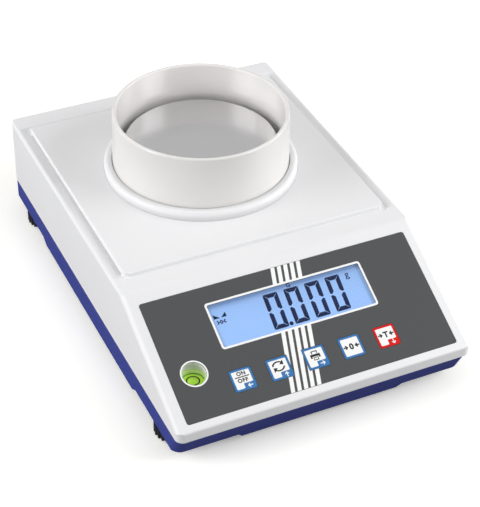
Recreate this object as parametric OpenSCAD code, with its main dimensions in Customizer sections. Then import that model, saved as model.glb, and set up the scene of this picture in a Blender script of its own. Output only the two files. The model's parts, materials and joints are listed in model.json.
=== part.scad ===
// Compact laboratory balance with a ring draft shield, a sloping key panel and four levelling feet.
// Millimetres. X runs to the user's right, Y to the back and Z up from the table.

/* [Housing] */
// Width of the upper housing
housing_w = 162.6; // [162:0.2:176]
// Depth of the upper housing
housing_d = 245; // [240:1:265]
// Height of the seam between tray and housing above the table
seam_z = 21; // [20:0.5:23]
// Height of the flat top above the table
top_z = 59.6; // [58:0.2:66]
// Wall of the upper housing
housing_wall = 2.6; // [2.2:0.1:3]
// Plan radius of the front corners
front_corner_r = 4.5; // [3:0.5:8]
// Plan radius of the rear corners
rear_corner_r = 6; // [3.5:0.5:8]
// Radius along the top side and rear edges
edge_r = 1.8; // [1:0.1:2.4]
// Radius along the side edges of the sloping panel
panel_edge_r = 3.2; // [2:0.2:4]
// Radius between the sloping panel and the front lip
lip_r = 1.5; // [1:0.1:3]
// Radius of the ridge between the flat top and the sloping panel
ridge_r = 8; // [4:0.5:12]
// Slope of the key panel
panel_angle = 24.9; // [22:0.1:26]
// Distance from the front face to the ridge
panel_run = 71; // [69:0.5:74]

/* [Platform] */
// Distance from the side faces to the raised platform
platform_side = 7; // [6.8:0.1:12]
// Distance from the ridge to the platform
platform_gap = 13; // [8:0.5:20]
// Distance from the rear face to the platform
platform_inset = 15.5; // [10:0.5:20]
// Rise of the platform above the flat top
platform_h = 1.8; // [1:0.1:3]
// Plan radius of the platform's corners
platform_corner_r = 4; // [2:0.5:8]
// Radius along the platform's top edges
platform_edge_r = 0.9; // [0.5:0.1:1]
// Depth of the gutter around the platform
gutter_depth = 1.2; // [0.5:0.1:1.6]
// Width of the side gutters
gutter_w = 4.8; // [3:0.2:5]
// Width of the front groove and the rear gutter
groove_w = 2.6; // [1.5:0.1:4]

/* [Weighing] */
// Distance from the rear face to the pan's centre
pan_inset = 87.3; // [85:0.1:90]
// Gap between the pan's edge and the foot of the shield's wall
pan_gap = 4.3; // [3.3:0.1:10]
// Height of the pan's top face above the platform
pan_rise = 15.7; // [14:0.1:18]
// Sheet thickness of the pan
pan_sheet = 1.2; // [0.8:0.1:1.5]
// Depth of the pan's turned-down rim
pan_rim_h = 3.4; // [2.8:0.1:4]
// Radius of the hub under the pan
pan_hub_r = 9; // [8:0.5:12]
// Radius of the plug under the pan
pan_plug_r = 5; // [4:0.1:6]
// Length of the plug under the hub
pan_plug_h = 12; // [8:0.5:14]
// Radius of the carrier post
post_r = 8; // [7.4:0.2:9]
// Height of the carrier post's seat above the platform
post_rise = 8.6; // [6:0.2:9.6]
// Radius of the hole in the platform for the post
post_hole_r = 12.5; // [11:0.5:15]
// Height of the lip round the post hole
post_lip_h = 2.5; // [1:0.5:4]

/* [Draft shield] */
// Outer radius of the shield's wall at its foot
shield_foot_r = 48.5; // [47:0.1:52]
// Inward taper of the shield from foot to rim
shield_taper = 0.7; // [0.1:0.1:1.6]
// Thickness of the shield's wall
shield_wall = 2.2; // [1.6:0.1:2.4]
// Height of the shield
shield_h = 35.6; // [30:0.2:45]
// Thickness of the collar
collar_t = 4.2; // [3.6:0.1:4.6]
// Height of the collar above the platform
collar_h = 5.2; // [4:0.2:9]
// Radius along the collar's outer top edge
collar_edge_r = 2.4; // [1:0.1:3]

/* [Key panel] */
// Distance from the side faces to the printed foil
foil_side = 6.75; // [6.2:0.05:10]
// Distance from the foil's lower edge to the front, along the slope
foil_end = 4.1; // [4:0.1:7]
// Distance from the ridge to the foil
foil_start = 7.1; // [6.5:0.1:7.5]
// Thickness of the foil
foil_t = 0.5; // [0.3:0.1:0.8]
// Plan radius of the foil's corners
foil_corner_r = 1.3; // [1:0.1:4]
// Width of the display field with its printed border
display_w = 86.9; // [80:0.1:88]
// Height of the display field with its printed border
display_h = 25.7; // [22:0.1:26]
// Sideways place of the display's centre
display_x = 0.5; // [-1:0.1:1]
// Distance from the ridge to the display's centre
display_s = 29.3; // [29:0.1:31]
// Width of the border printed round the display
display_border = 0.85; // [0.4:0.05:1.2]
// Thickness of the clear window
window_t = 1.5; // [1:0.1:1.8]
// Thickness of the display glass
lcd_t = 2.2; // [1.8:0.1:2.4]
// Thickness of the light panel behind the display
backlight_t = 3.1; // [2.8:0.1:3.6]
// Side of a square key
key_size = 11.6; // [10:0.1:12]
// Distance between key centres
key_pitch = 19.97; // [19:0.01:20.5]
// Sideways place of the middle key
key_x = 0.3; // [-1:0.1:1]
// Distance from the ridge to the key row
key_s = 60; // [59.5:0.1:60.5]
// Plan radius of a key's corners
key_corner_r = 1; // [0.5:0.1:2]
// Travel of a key
key_travel = 0.4; // [0.2:0.05:0.5]
// Width of the lip that keeps a key in
key_lip = 1; // [0.6:0.1:1.4]
// Thickness of a circuit board
board_t = 1.6; // [1.2:0.1:2]

/* [Level] */
// Distance from the foil's left edge to the level's centre
level_side = 12.95; // [11.6:0.05:13.5]
// Distance from the ridge to the level's window
level_s = 50; // [48:0.1:52]
// Radius of the level's window in the panel
level_window_r = 6.2; // [5:0.1:6.4]
// Outer radius of the vial
vial_r = 6.6; // [6.4:0.1:7]
// Wall of the vial
vial_wall = 1; // [0.8:0.1:1.4]
// Height of the vial
vial_h = 8.4; // [7:0.1:8.8]
// Drop from the window's centre to the vial's top
vial_drop = 5.9; // [5.4:0.1:6.4]
// How far the vial's axis lies behind the window's centre
vial_shift = 1.5; // [1:0.1:2]
// Radius of the bubble
bubble_r = 2.2; // [1.5:0.1:3]

/* [Tray] */
// Height of the tray's underside above the table
tray_z = 4.8; // [4:0.1:6]
// Height of the underside over the feet
notch_z = 8.2; // [8:0.1:9]
// Wall of the tray
tray_wall = 3; // [2.8:0.1:3.4]
// Floor of the tray
tray_floor = 2.4; // [2:0.1:3]
// Setback of the tray's outline from the housing's, all round
tray_setback = 0.2; // [0.1:0.1:0.6]
// Plan radius of the tray's front corners
tray_corner_r = 6; // [3:0.5:8]
// Lean of the tray's front face
front_rake = 27; // [20:1:34]
// Inward taper of each tray side over its height
side_taper = 0.6; // [0.5:0.1:2]
// Half width of the deep part of the tray between the front feet
keel_x = 43.5; // [42:0.5:48]
// Distance from the front face to the deep part at the sides
keel_front_inset = 59.5; // [55:0.5:62]
// Distance from the rear face to the deep part at the sides
keel_rear_inset = 49.5; // [46:0.5:52]
// Run of the slopes that lead down to the deep part
keel_run = 5; // [3:0.5:8]
// Height of the tongue that locates the housing
tongue_h = 2.5; // [1.5:0.1:3]
// Thickness of the tongue
tongue_t = 1.4; // [1:0.1:2]

/* [Feet] */
// Distance from the side faces to the foot axes
foot_inset = 11.3; // [11:0.1:14]
// Distance from the front face to the front foot axes
foot_front_inset = 30.1; // [27:0.1:33]
// Distance from the rear face to the rear foot axes
foot_rear_inset = 22.5; // [20:0.5:25]
// Radius of the foot wheel over its ribs
wheel_r = 11; // [9:0.1:11]
// Height of the foot wheel
wheel_h = 6.2; // [5:0.1:6.4]
// Number of grip ribs on a foot wheel
wheel_ribs = 24; // [16:1:28]
// Radius of a grip rib
rib_r = 0.8; // [0.5:0.05:1]
// Radius of the rubber pad
pad_r = 7.5; // [6:0.1:8]
// Thickness of the rubber pad
pad_t = 2.2; // [1.6:0.1:2.6]
// How far the pad stands out below the wheel
pad_proud = 1.2; // [0.8:0.1:1.4]
// Radius of the foot stud over its thread
stud_r = 2.94; // [2.4:0.02:3]
// Height of the stud's upper end
stud_top_z = 21.5; // [20.6:0.1:22]
// Radius of the threaded insert in the tray
insert_r = 4.5; // [4:0.1:5]
// Radius of the boss round a threaded insert
foot_boss_r = 6.5; // [6:0.1:7]

/* [Load cell] */
// Width of the load cell
cell_w = 22; // [18:1:26]
// Height of the load cell
cell_h = 24; // [20:1:25]
// How far the load cell reaches forward of the ridge
cell_reach = 10.5; // [8:0.5:12]
// Distance from the pan's centre to the load cell's rear end
cell_rear_gap = 18.8; // [18.6:0.2:22]
// Radius of the two bores that make the bending webs
cell_bore_r = 8.5; // [7:0.1:8.5]
// Distance between the two bores
cell_bore_gap = 24; // [20:1:26]
// Height of the slot between the bores
cell_slot_h = 6; // [4:0.5:8]
// Thickness of the plate under the load cell
plate_t = 3; // [2:0.5:4]
// Height of the pad under that plate
cell_pad_z = 12; // [11:0.5:13]
// Thickness of the carrier's foot plate
carrier_t = 5; // [4:0.5:6]
// Shank radius of the load cell's bolts
cell_bolt_r = 2.45; // [2:0.05:2.6]
// Head radius of the load cell's bolts
cell_head_r = 4.2; // [3.8:0.1:4.4]
// Head height of the load cell's bolts
cell_head_h = 3; // [2:0.1:3.2]
// Gap under the load cell's free end at the overload stop
stop_gap = 0.4; // [0.35:0.05:0.8]
// Radius of the overload stop screw
stop_r = 2; // [1.5:0.1:2.5]

/* [Electronics] */
// Width of the main board
main_w = 88; // [84:1:92]
// Depth of the main board
main_d = 50; // [46:1:51]
// Distance from the rear face to the main board
main_inset = 6.5; // [6:0.1:7.5]
// Drop from the seam to the main board's underside
main_drop = 1; // [0.5:0.1:2]
// Sideways place of the power jack
jack_x = 28; // [24:0.5:32]
// Height of the power jack's axis above the seam
jack_rise = 7.6; // [7.4:0.1:9]
// Outer radius of the power jack's nose
jack_r = 4; // [3.6:0.1:4.4]
// Radius of the power jack's bore
jack_bore_r = 3.1; // [2.8:0.1:3.2]
// Radius of the power jack's pin
jack_pin_r = 1; // [0.6:0.1:1.2]
// Sideways place of the data socket
data_x = -14; // [-18:0.5:-10]
// Height of the data socket's axis above the seam
data_rise = 10; // [9.6:0.1:12]
// Width of the data socket's mouth at its wider side
data_w = 17; // [16:0.1:18]
// Height of the data socket's mouth
data_h = 8.4; // [8:0.1:9]

/* [Fasteners] */
// Sideways place of the housing screws
screw_x = 58; // [56:0.5:60]
// Place of the front housing screws
screw_front_y = -42; // [-43:0.5:-38]
// Place of the rear housing screws
screw_rear_y = 62; // [58:0.5:64]
// Shank radius of the housing screws
screw_r = 1.5; // [1.2:0.05:1.8]
// Head radius of the housing screws
screw_head_r = 2.8; // [2.4:0.1:3.2]
// Head height of the housing screws
screw_head_h = 2.4; // [1.6:0.1:2.8]
// Reach of the housing screws into the posts
screw_reach = 12; // [8:0.5:16]
// Radius of a screw post
screw_post_r = 4.4; // [4:0.1:5]
// Shank radius of the board screws
board_screw_r = 1.2; // [1:0.05:1.4]
// Head radius of the board screws
board_head_r = 2.2; // [1.8:0.1:2.4]

/* [Clearances] */
// Gap round the foil, keys and other flush pieces
flush_gap = 0.2; // [0.1:0.05:0.3]
// Radial gap of running and push fits
fit_gap = 0.05; // [0.02:0.01:0.08]
// Gap between the shield's flange and the collar
shield_gap = 0.3; // [0.2:0.05:0.5]
// Gap between tongue and housing wall
tongue_gap = 0.2; // [0.1:0.05:0.4]
// Radial gap of a bolt in a passing hole
pass_gap = 0.15; // [0.1:0.05:0.3]

/* [Hidden] */
$fn = 64;
// Extra reach of a cutting shape past the face it opens
over = 1;
// Offset that keeps two rounding shapes from sharing a plane
skin = 0.05;
far = 400;
// Least radius of an inner corner
least_inner_r = 0.5;

panel_sin = sin(panel_angle);
panel_cos = cos(panel_angle);
panel_tan = tan(panel_angle);
ridge_y = panel_run - housing_d / 2;
lip_z = top_z - panel_run * panel_tan;
rear_inner_y = housing_d / 2 - housing_wall;

platform_front_y = ridge_y + platform_gap;
platform_rear_y = housing_d / 2 - platform_inset;
platform_z = top_z + platform_h;
platform_w = housing_w - 2 * platform_side;
gutter_outer = platform_w / 2 + gutter_w;

shield_rim_r = shield_foot_r - shield_taper;
collar_in_r = shield_foot_r + shield_gap;
pan_r = shield_foot_r - shield_wall - pan_gap;

pan_y = housing_d / 2 - pan_inset;
pan_z = platform_z + pan_rise;
post_top_z = platform_z + post_rise;
// Edge radius of the pan's rim
pan_rim_r = 1.4;
// Wall of the lip round the post hole
post_lip_t = 2;

foil_w = housing_w - 2 * foil_side;
foil_l = panel_run / panel_cos - foil_start - foil_end;
// Depths below the panel's face, along its normal
lcd_z = -foil_t - window_t;
backlight_z = lcd_z - lcd_t;
key_board_z = backlight_z - backlight_t;
key_lip_t = 0.8;
key_bottom = -housing_wall - key_lip_t;
// Side, plunger radius and plunger height of a push switch
switch_size = 6;
switch_cap_r = 1.7;
switch_cap_h = 0.7;
switch_top = key_bottom - key_travel - fit_gap;

// Half width, ends and screw places of the board behind the panel
keyboard_side = 24.55;
keyboard_x = foil_w / 2 - keyboard_side;
keyboard_start_inset = 3;
keyboard_end_inset = 1.2;
keyboard_start = foil_start + keyboard_start_inset;
keyboard_end = foil_start + foil_l - keyboard_end_inset;
keyboard_screw_side = 3.5;
keyboard_screw_end = [3, 2.6];
keyboard_screw_x = keyboard_x - keyboard_screw_side;
keyboard_screw_s = [keyboard_start + keyboard_screw_end[0], keyboard_end - keyboard_screw_end[1]];
keyboard_boss_r = board_screw_r + 1.1;
board_corner_r = 1.5;
board_head_h = 1.4;
board_screw_bite = 3;

// Place of the level's vial and its tube
level_x = level_side - foil_w / 2;
level_y = ridge_y - level_s * panel_cos + vial_shift;
vial_top_z = top_z - level_s * panel_sin - vial_drop;
vial_z = vial_top_z - vial_h;
tube_wall = 1.8;
tube_floor = 2;
tube_r = vial_r + 2 * fit_gap + tube_wall;

tray_w = housing_w - 2 * tray_setback;
tray_d = housing_d - 2 * tray_setback;
keel_front_y = keel_front_inset - housing_d / 2;
keel_rear_y = housing_d / 2 - keel_rear_inset;
// How far the tongue reaches down into the tray's wall
tongue_root = 4;
tongue_inner_y = rear_inner_y - tongue_gap - tongue_t;
foot_x = housing_w / 2 - foot_inset;
foot_front_y = foot_front_inset - housing_d / 2;
foot_rear_y = housing_d / 2 - foot_rear_inset;
foot_boss_top_z = seam_z - 0.5;
insert_z = notch_z + 2;

cell_z = cell_pad_z + plate_t;
cell_top_z = cell_z + cell_h;
cell_rear_y = pan_y + cell_rear_gap;
cell_front_y = ridge_y - cell_reach;
cell_l = cell_rear_y - cell_front_y;
cell_mid_y = cell_front_y + cell_l / 2 - 3;
// Plate and pad under the load cell's fixed end
plate_l = 26;
plate_margin = 3;
plate_w = cell_w + 2 * plate_margin;
plate_y = cell_front_y - plate_margin + 1;
fixed_bolt_inset = 6;
fixed_bolt_gap = 11;
fixed_bolt_y = [cell_front_y + fixed_bolt_inset, cell_front_y + fixed_bolt_inset + fixed_bolt_gap];
fixed_seat_z = tray_z + cell_head_h + 0.4;
free_bolt_y = [pan_y - post_r - cell_head_r - 1, pan_y + post_r + cell_head_r + 1];
carrier_front_y = free_bolt_y[0] - cell_head_r - 1;
// Depth of the bolts in the load cell
bolt_bite = 12;
stop_inset = 6;
stop_y = cell_rear_y - stop_inset;
stop_boss_r = stop_r + 3;
screw_seat_z = tray_z + screw_head_h + 1.6;

main_z = seam_z - main_drop;
main_top_z = main_z + board_t;
main_rear_y = housing_d / 2 - main_inset;
main_front_y = main_rear_y - main_d;
main_screw_side = 6;
main_screw_end = 5;
main_screw_x = main_w / 2 - main_screw_side;
main_screw_y = [main_front_y + main_screw_end, main_rear_y - main_screw_end];
main_post_r = board_screw_r + 2.2;
main_screw_bite = 6;

// Faces of the rear sockets and the depth of their bores
socket_face_y = housing_d / 2 - flush_gap;
socket_back_y = tongue_inner_y - flush_gap;
jack_z = seam_z + jack_rise;
jack_half = jack_r + 1;
jack_block_d = 13;
jack_bore_d = 9.5;
jack_pin_l = 8.5;
data_z = seam_z + data_rise;
data_flange_y = rear_inner_y - fit_gap;
data_flange_w = 31;
data_flange_h = 12.4;
data_flange_t = 1;
data_shell_t = 0.6;
data_block_w = 19.4;
data_block_d = 11;
data_pitch = 2.77;
data_row = 1.42;
data_hole_r = 0.55;
data_hole_d = 7;
data_nut_x = 12.5;
data_nut_r = 2.6;
data_nut_h = 3;
data_stud_r = 1.5;

// Lead from the load cell and flat cable from the key board
lead_r = 1.1;
lead_bend = 3;
lead_side = 3.5;
lead_x = cell_w / 2 + lead_side;
lead_inset = 10;
lead_rise = 15;
lead_end_inset = 12;
lead_y = cell_front_y + lead_inset;
lead_z = cell_z + lead_rise;
lead_end_y = main_front_y + lead_end_inset;
plug_h = 5;
plug_d = 6;
ribbon_w = 14;
ribbon_side = 5;
ribbon_x = lead_x + ribbon_side;
ribbon_t = 0.7;
ribbon_rest = 18;
ribbon_rest_y = ridge_y + ribbon_rest;
header_h = 4;
// Converter can and processor on the main board
can_x = -34;
can_w = 24;
can_d = 18;
chip_w = 12;
chip_h = 2;
header_d = 5;
header_inset = 4;
header_s = keyboard_start + header_inset;

foot_places = [
    [-foot_x, foot_front_y],
    [foot_x, foot_front_y],
    [-foot_x, foot_rear_y],
    [foot_x, foot_rear_y]
];
screw_places = [
    for (x = [-screw_x, screw_x])
        for (y = [screw_front_y, screw_rear_y]) [x, y]
];

// Rectangle with a rounded front pair and a rounded rear pair of corners
module plan_outline(w, d, front_r, rear_r) {
    translate([-w / 2, -d / 2 + front_r]) square([w, d - front_r - rear_r]);
    translate([-w / 2 + front_r, -d / 2]) square([w - 2 * front_r, 2 * front_r]);
    translate([-w / 2 + rear_r, d / 2 - 2 * rear_r]) square([w - 2 * rear_r, 2 * rear_r]);
    for (side = [-1, 1]) {
        translate([side * (w / 2 - front_r), -d / 2 + front_r]) circle(front_r);
        translate([side * (w / 2 - rear_r), d / 2 - rear_r]) circle(rear_r);
    }
}

// Rectangle with four equal rounded corners, centred
module round_rect(w, d, r) {
    plan_outline(w, d, r, r);
}

// Upright section of width w whose two upper corners are rounded, from far below up to z
module crown_section(w, z, r) {
    translate([-w / 2, z - far]) square([w, far - r]);
    translate([-w / 2 + r, z - 2 * r]) square([w - 2 * r, 2 * r]);
    for (side = [-1, 1]) translate([side * (w / 2 - r), z - r]) circle(r);
}

// Turns a section drawn in X and Z into a bar along Y
module along_y(from_y, to_y) {
    translate([0, to_y, 0]) rotate([90, 0, 0]) linear_extrude(to_y - from_y) children();
}

// Turns a section drawn in Y and Z into a bar along X
module along_x(w) {
    translate([-w / 2, 0, 0]) rotate([90, 0, 90]) linear_extrude(w) children();
}

// Places children on the sloping panel: X across, Y up the slope from the ridge, Z out of the face
module on_panel(x = 0, s = 0) {
    translate([0, ridge_y, top_z]) rotate([panel_angle, 0, 0]) translate([x, -s, 0]) children();
}

// Plate with rounded corners standing between two depths below the panel's face
module panel_plate(x, s, w, l, r, low, high) {
    on_panel(x, s) translate([0, 0, low]) linear_extrude(high - low) round_rect(w, l, r);
}

// Side view of the housing: flat top, ridge, sloping panel and front lip
module housing_side() {
    front = -housing_d / 2;
    rear = housing_d / 2;
    ridge_len = ridge_r * tan(panel_angle / 2);
    lip_turn = 90 - panel_angle;
    lip_len = lip_r * tan(lip_turn / 2);
    polygon([
        [front, 0],
        [front, lip_z - lip_len],
        [front + lip_len * panel_cos, lip_z + lip_len * panel_sin],
        [ridge_y - ridge_len * panel_cos, top_z - ridge_len * panel_sin],
        [ridge_y + ridge_len, top_z],
        [rear - edge_r, top_z],
        [rear, top_z - edge_r],
        [rear, 0]
    ]);
    translate([front + lip_r, lip_z - lip_len]) circle(lip_r);
    translate([ridge_y + ridge_len, top_z - ridge_r]) circle(ridge_r);
    translate([rear - edge_r, top_z - edge_r]) circle(edge_r);
}

// Solid outer form of the housing above the seam
module housing_form() {
    grown_w = housing_w + 2 * skin;
    intersection() {
        translate([0, 0, seam_z])
            linear_extrude(far) plan_outline(grown_w, housing_d + 2 * skin, front_corner_r, rear_corner_r);
        along_y(-far, far) crown_section(housing_w, top_z + skin, edge_r);
        on_panel() along_y(-far, far) crown_section(grown_w, skin, panel_edge_r);
        along_x(2 * housing_w) housing_side();
    }
}

// Space inside the housing, from a height below the seam up to the underside of top and panel
module housing_space(from_z, inset) {
    ceiling = top_z - inset;
    knee_y = ridge_y + inset * tan(panel_angle / 2);
    toe_y = knee_y - (ceiling - from_z) / panel_tan;
    intersection() {
        translate([0, 0, from_z])
            linear_extrude(far) plan_outline(housing_w - 2 * inset, housing_d - 2 * inset,
                max(front_corner_r - inset, least_inner_r), rear_corner_r - inset);
        along_x(2 * housing_w) polygon([[toe_y, from_z], [knee_y, ceiling], [far, ceiling], [far, from_z]]);
    }
}

// Raised platform with rounded corners and edges
module platform() {
    platform_d = platform_rear_y - platform_front_y;
    translate([0, (platform_rear_y + platform_front_y) / 2, 0]) intersection() {
        translate([0, 0, top_z - housing_wall])
            linear_extrude(far) round_rect(platform_w + 2 * skin, platform_d + 2 * skin, platform_corner_r);
        along_y(-far, far) crown_section(platform_w, platform_z + skin, platform_edge_r);
        rotate([0, 0, 90]) along_y(-far, far) crown_section(platform_d, platform_z, platform_edge_r);
    }
}

// Gutters beside and behind the platform and the groove in front of it
module gutters() {
    floor_z = top_z - gutter_depth;
    inner = platform_w / 2 - over;
    rear = platform_rear_y + groove_w;
    for (side = [0, 1]) mirror([side, 0, 0]) along_y(platform_front_y - groove_w / 2, rear)
        polygon([
            [inner, floor_z],
            [inner + 2 * over, floor_z],
            [gutter_outer, top_z],
            [gutter_outer, top_z + over],
            [inner, top_z + over]
        ]);
    for (y = [platform_front_y - groove_w, platform_rear_y - over])
        translate([-inner - over, y, top_z - gutter_depth / 2])
            cube([2 * (inner + over), groove_w + over, gutter_depth]);
}

// Collar that centres the draft shield, with a round outer edge
module collar() {
    flat = collar_t - collar_edge_r;
    translate([0, pan_y, platform_z]) rotate_extrude($fn = 128) {
        translate([collar_in_r, -over]) square([collar_t, over + collar_h - collar_edge_r]);
        translate([collar_in_r, -over]) square([flat, over + collar_h]);
        translate([collar_in_r + flat, collar_h - collar_edge_r]) intersection() {
            circle(collar_edge_r);
            square(collar_edge_r);
        }
    }
}

// Upright bar round the level's axis, from a height up to the panel
module level_bar(r, from_z, inset) {
    intersection() {
        translate([level_x, level_y, from_z]) cylinder(r = r, h = far);
        housing_space(seam_z, inset);
    }
}

module top_housing() {
    color("#E9EAEB") difference() {
        union() {
            difference() {
                housing_form();
                housing_space(seam_z - over, housing_wall);
                gutters();
            }
            platform();
            collar();
            level_bar(tube_r, vial_z - tube_floor, housing_wall - skin);
            translate([0, pan_y, platform_z - over])
                cylinder(r = post_hole_r + post_lip_t, h = over + post_lip_h);
            for (p = screw_places) translate([p[0], p[1], seam_z])
                cylinder(r = screw_post_r, h = top_z - seam_z - housing_wall / 2);
            for (x = [-keyboard_screw_x, keyboard_screw_x], s = keyboard_screw_s)
                on_panel(x, s) translate([0, 0, key_board_z])
                    cylinder(r = keyboard_boss_r, h = -key_board_z - housing_wall / 2);
        }
        // Hole for the carrier post
        translate([0, pan_y, 0]) cylinder(r = post_hole_r, h = far);
        // Recess for the foil
        panel_plate(0, foil_start + foil_l / 2, foil_w + 2 * flush_gap, foil_l + 2 * flush_gap,
            foil_corner_r + flush_gap, -foil_t, over);
        // Display and key openings
        panel_plate(display_x, display_s, display_w + 2 * flush_gap, display_h + 2 * flush_gap,
            key_corner_r, -2 * housing_wall, over);
        for (i = [-2:2]) panel_plate(key_x + i * key_pitch, key_s, key_size + 2 * flush_gap,
            key_size + 2 * flush_gap, key_corner_r + flush_gap, -2 * housing_wall, over);
        // Level window and the pocket of the vial
        on_panel(level_x, level_s) translate([0, 0, -2 * housing_wall])
            cylinder(r = level_window_r, h = far);
        level_bar(vial_r + 2 * fit_gap, vial_z, housing_wall);
        // Pilot holes
        for (p = screw_places) translate([p[0], p[1], seam_z - over])
            cylinder(r = screw_r + skin / 2, h = screw_reach + 2 * over);
        for (x = [-keyboard_screw_x, keyboard_screw_x], s = keyboard_screw_s)
            on_panel(x, s) translate([0, 0, key_board_z - over])
                cylinder(r = board_screw_r + skin / 2, h = 2 * over + board_screw_bite);
        // Rear sockets
        translate([jack_x, rear_inner_y - over, jack_z]) rotate([-90, 0, 0])
            cylinder(r = jack_r + flush_gap, h = housing_wall + 2 * over);
        data_bar(rear_inner_y - over, housing_d / 2 + over, data_shell_t + 2 * flush_gap);
    }
}

// Outline of the tray between two heights, drawn in by inset on every wall
module tray_form(inset, low, high) {
    lean = inset / cos(front_rake);
    intersection() {
        translate([0, -tray_d / 2 + lean, seam_z]) rotate([front_rake, 0, 0]) translate([0, 0, -far / 2])
            linear_extrude(far) translate([0, far / 2])
                plan_outline(tray_w + 2 * skin - 2 * inset, far,
                    max(tray_corner_r - inset, least_inner_r), 1);
        along_y(-far, tray_d / 2 - inset) polygon([
            [-tray_w / 2 + side_taper + inset, tray_z],
            [tray_w / 2 - side_taper - inset, tray_z],
            [tray_w / 2 - inset, seam_z],
            [tray_w / 2 - inset, seam_z + far],
            [-tray_w / 2 + inset, seam_z + far],
            [-tray_w / 2 + inset, seam_z]
        ]);
        translate([0, tray_d / 2 + skin - inset - far / 2, low]) linear_extrude(high - low)
            plan_outline(tray_w + 2 * skin - 2 * inset, far, 1, max(rear_corner_r - inset, 1));
    }
}

// Stepped-up corner over a foot, with slopes leading down to the deep part of the tray
module foot_notch(side, end, grow) {
    toe = tray_z - over;
    slope = keel_run / (notch_z - tray_z);
    keel_y = end < 0 ? -keel_front_y : keel_rear_y;
    roof = notch_z + grow;
    y_in = keel_y - grow;
    x_in = keel_x - grow;
    drop = roof - toe;
    intersection() {
        mirror([side < 0 ? 1 : 0, 0, 0]) along_y(-far, far) polygon([
            [x_in + keel_run / 2 - drop * slope / 2, toe],
            [far, toe],
            [far, roof],
            [x_in + keel_run / 2, roof]
        ]);
        mirror([0, end < 0 ? 1 : 0, 0]) along_x(far) polygon([
            [y_in + keel_run / 2 - drop * slope, toe],
            [far, toe],
            [far, roof],
            [y_in + keel_run / 2, roof]
        ]);
    }
}

module base_tray() {
    color("#3F479A") difference() {
        union() {
            difference() {
                tray_form(0, tray_z, seam_z);
                difference() {
                    tray_form(tray_wall, tray_z + tray_floor, seam_z + over);
                    for (side = [-1, 1], end = [-1, 1]) foot_notch(side, end, tray_floor);
                }
                for (side = [-1, 1], end = [-1, 1]) foot_notch(side, end, 0);
            }
            // Tongue that locates the housing
            difference() {
                tongue_plan(seam_z - tongue_root, seam_z + tongue_h, tongue_gap);
                tongue_plan(seam_z - tongue_root - over, seam_z + tongue_h + over, tongue_gap + tongue_t);
            }
            // Foot bosses, screw posts and board posts
            for (p = foot_places) translate([p[0], p[1], notch_z])
                cylinder(r = foot_boss_r, h = foot_boss_top_z - notch_z);
            for (p = screw_places) translate([p[0], p[1], tray_z])
                cylinder(r = screw_post_r, h = seam_z - tray_z);
            for (x = [-main_screw_x, main_screw_x], y = main_screw_y)
                translate([x, y, tray_z + tray_floor / 2])
                    cylinder(r = main_post_r, h = main_z - tray_z - tray_floor / 2);
            // Pads of the load cell and of the overload stop
            translate([-plate_w / 2, plate_y, tray_z]) cube([plate_w, plate_l, cell_pad_z - tray_z]);
            translate([0, stop_y, tray_z]) cylinder(r = stop_boss_r, h = cell_pad_z - tray_z - over);
        }
        for (p = foot_places) translate([p[0], p[1], 0]) {
            cylinder(r = stud_r + 2 * pass_gap, h = far);
            translate([0, 0, insert_z]) cylinder(r = insert_r + skin / 2, h = far);
        }
        for (p = screw_places) translate([p[0], p[1], 0]) {
            cylinder(r = screw_r + pass_gap, h = far);
            cylinder(r = screw_head_r + pass_gap, h = screw_seat_z);
        }
        for (x = [-main_screw_x, main_screw_x], y = main_screw_y)
            translate([x, y, main_z - main_screw_bite - over])
                cylinder(r = board_screw_r + skin / 2, h = far);
        for (y = fixed_bolt_y) translate([0, y, 0]) {
            cylinder(r = cell_bolt_r + pass_gap, h = far);
            cylinder(r = cell_head_r + pass_gap, h = fixed_seat_z);
        }
        translate([0, stop_y, 0]) cylinder(r = stop_r + skin / 2, h = far);
    }
}

// Solid block inside the housing wall, used for both faces of the tongue
module tongue_plan(low, high, gap) {
    inset = housing_wall + gap;
    translate([0, 0, low]) linear_extrude(high - low)
        plan_outline(housing_w - 2 * inset, housing_d - 2 * inset,
            max(front_corner_r - housing_wall, least_inner_r), 1);
}

module panel_foil() {
    color("#57585A") difference() {
        panel_plate(0, foil_start + foil_l / 2, foil_w, foil_l, foil_corner_r, -foil_t, 0);
        panel_plate(display_x, display_s, display_w - 2 * display_border, display_h - 2 * display_border,
            key_corner_r, -over, over);
        for (i = [-2:2]) panel_plate(key_x + i * key_pitch, key_s, key_size + 2 * flush_gap,
            key_size + 2 * flush_gap, key_corner_r + flush_gap, -over, over);
        on_panel(level_x, level_s) translate([0, 0, -over]) cylinder(r = level_window_r, h = 2 * over);
    }
}

module display_window() {
    color("#DCEBFA", 0.4)
        panel_plate(display_x, display_s, display_w, display_h, key_corner_r, lcd_z, -foil_t);
}

module lcd_glass() {
    color("#9CC4F5") panel_plate(display_x, display_s, display_w - display_border, display_h - display_border,
        key_corner_r / 2, backlight_z, lcd_z);
}

module backlight() {
    color("#F4F7FA") panel_plate(display_x, display_s, display_w - 3 * display_border,
        display_h - 3 * display_border, key_corner_r / 2, key_board_z, backlight_z);
}

// One key: square cap with a lip that holds it under the panel
module key(i, tint) {
    x = key_x + i * key_pitch;
    color(tint) {
        panel_plate(x, key_s, key_size, key_size, key_corner_r, -housing_wall - skin, 0);
        panel_plate(x, key_s, key_size + 2 * key_lip, key_size + 2 * key_lip, key_corner_r,
            key_bottom, -housing_wall - skin);
    }
}

module key_board() {
    color("#2F6B46") difference() {
        panel_plate(0, (keyboard_start + keyboard_end) / 2, 2 * keyboard_x, keyboard_end - keyboard_start,
            board_corner_r, key_board_z - board_t, key_board_z);
        for (x = [-keyboard_screw_x, keyboard_screw_x], s = keyboard_screw_s)
            on_panel(x, s) translate([0, 0, key_board_z - board_t - over])
                cylinder(r = board_screw_r + pass_gap, h = board_t + 2 * over);
    }
}

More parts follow.
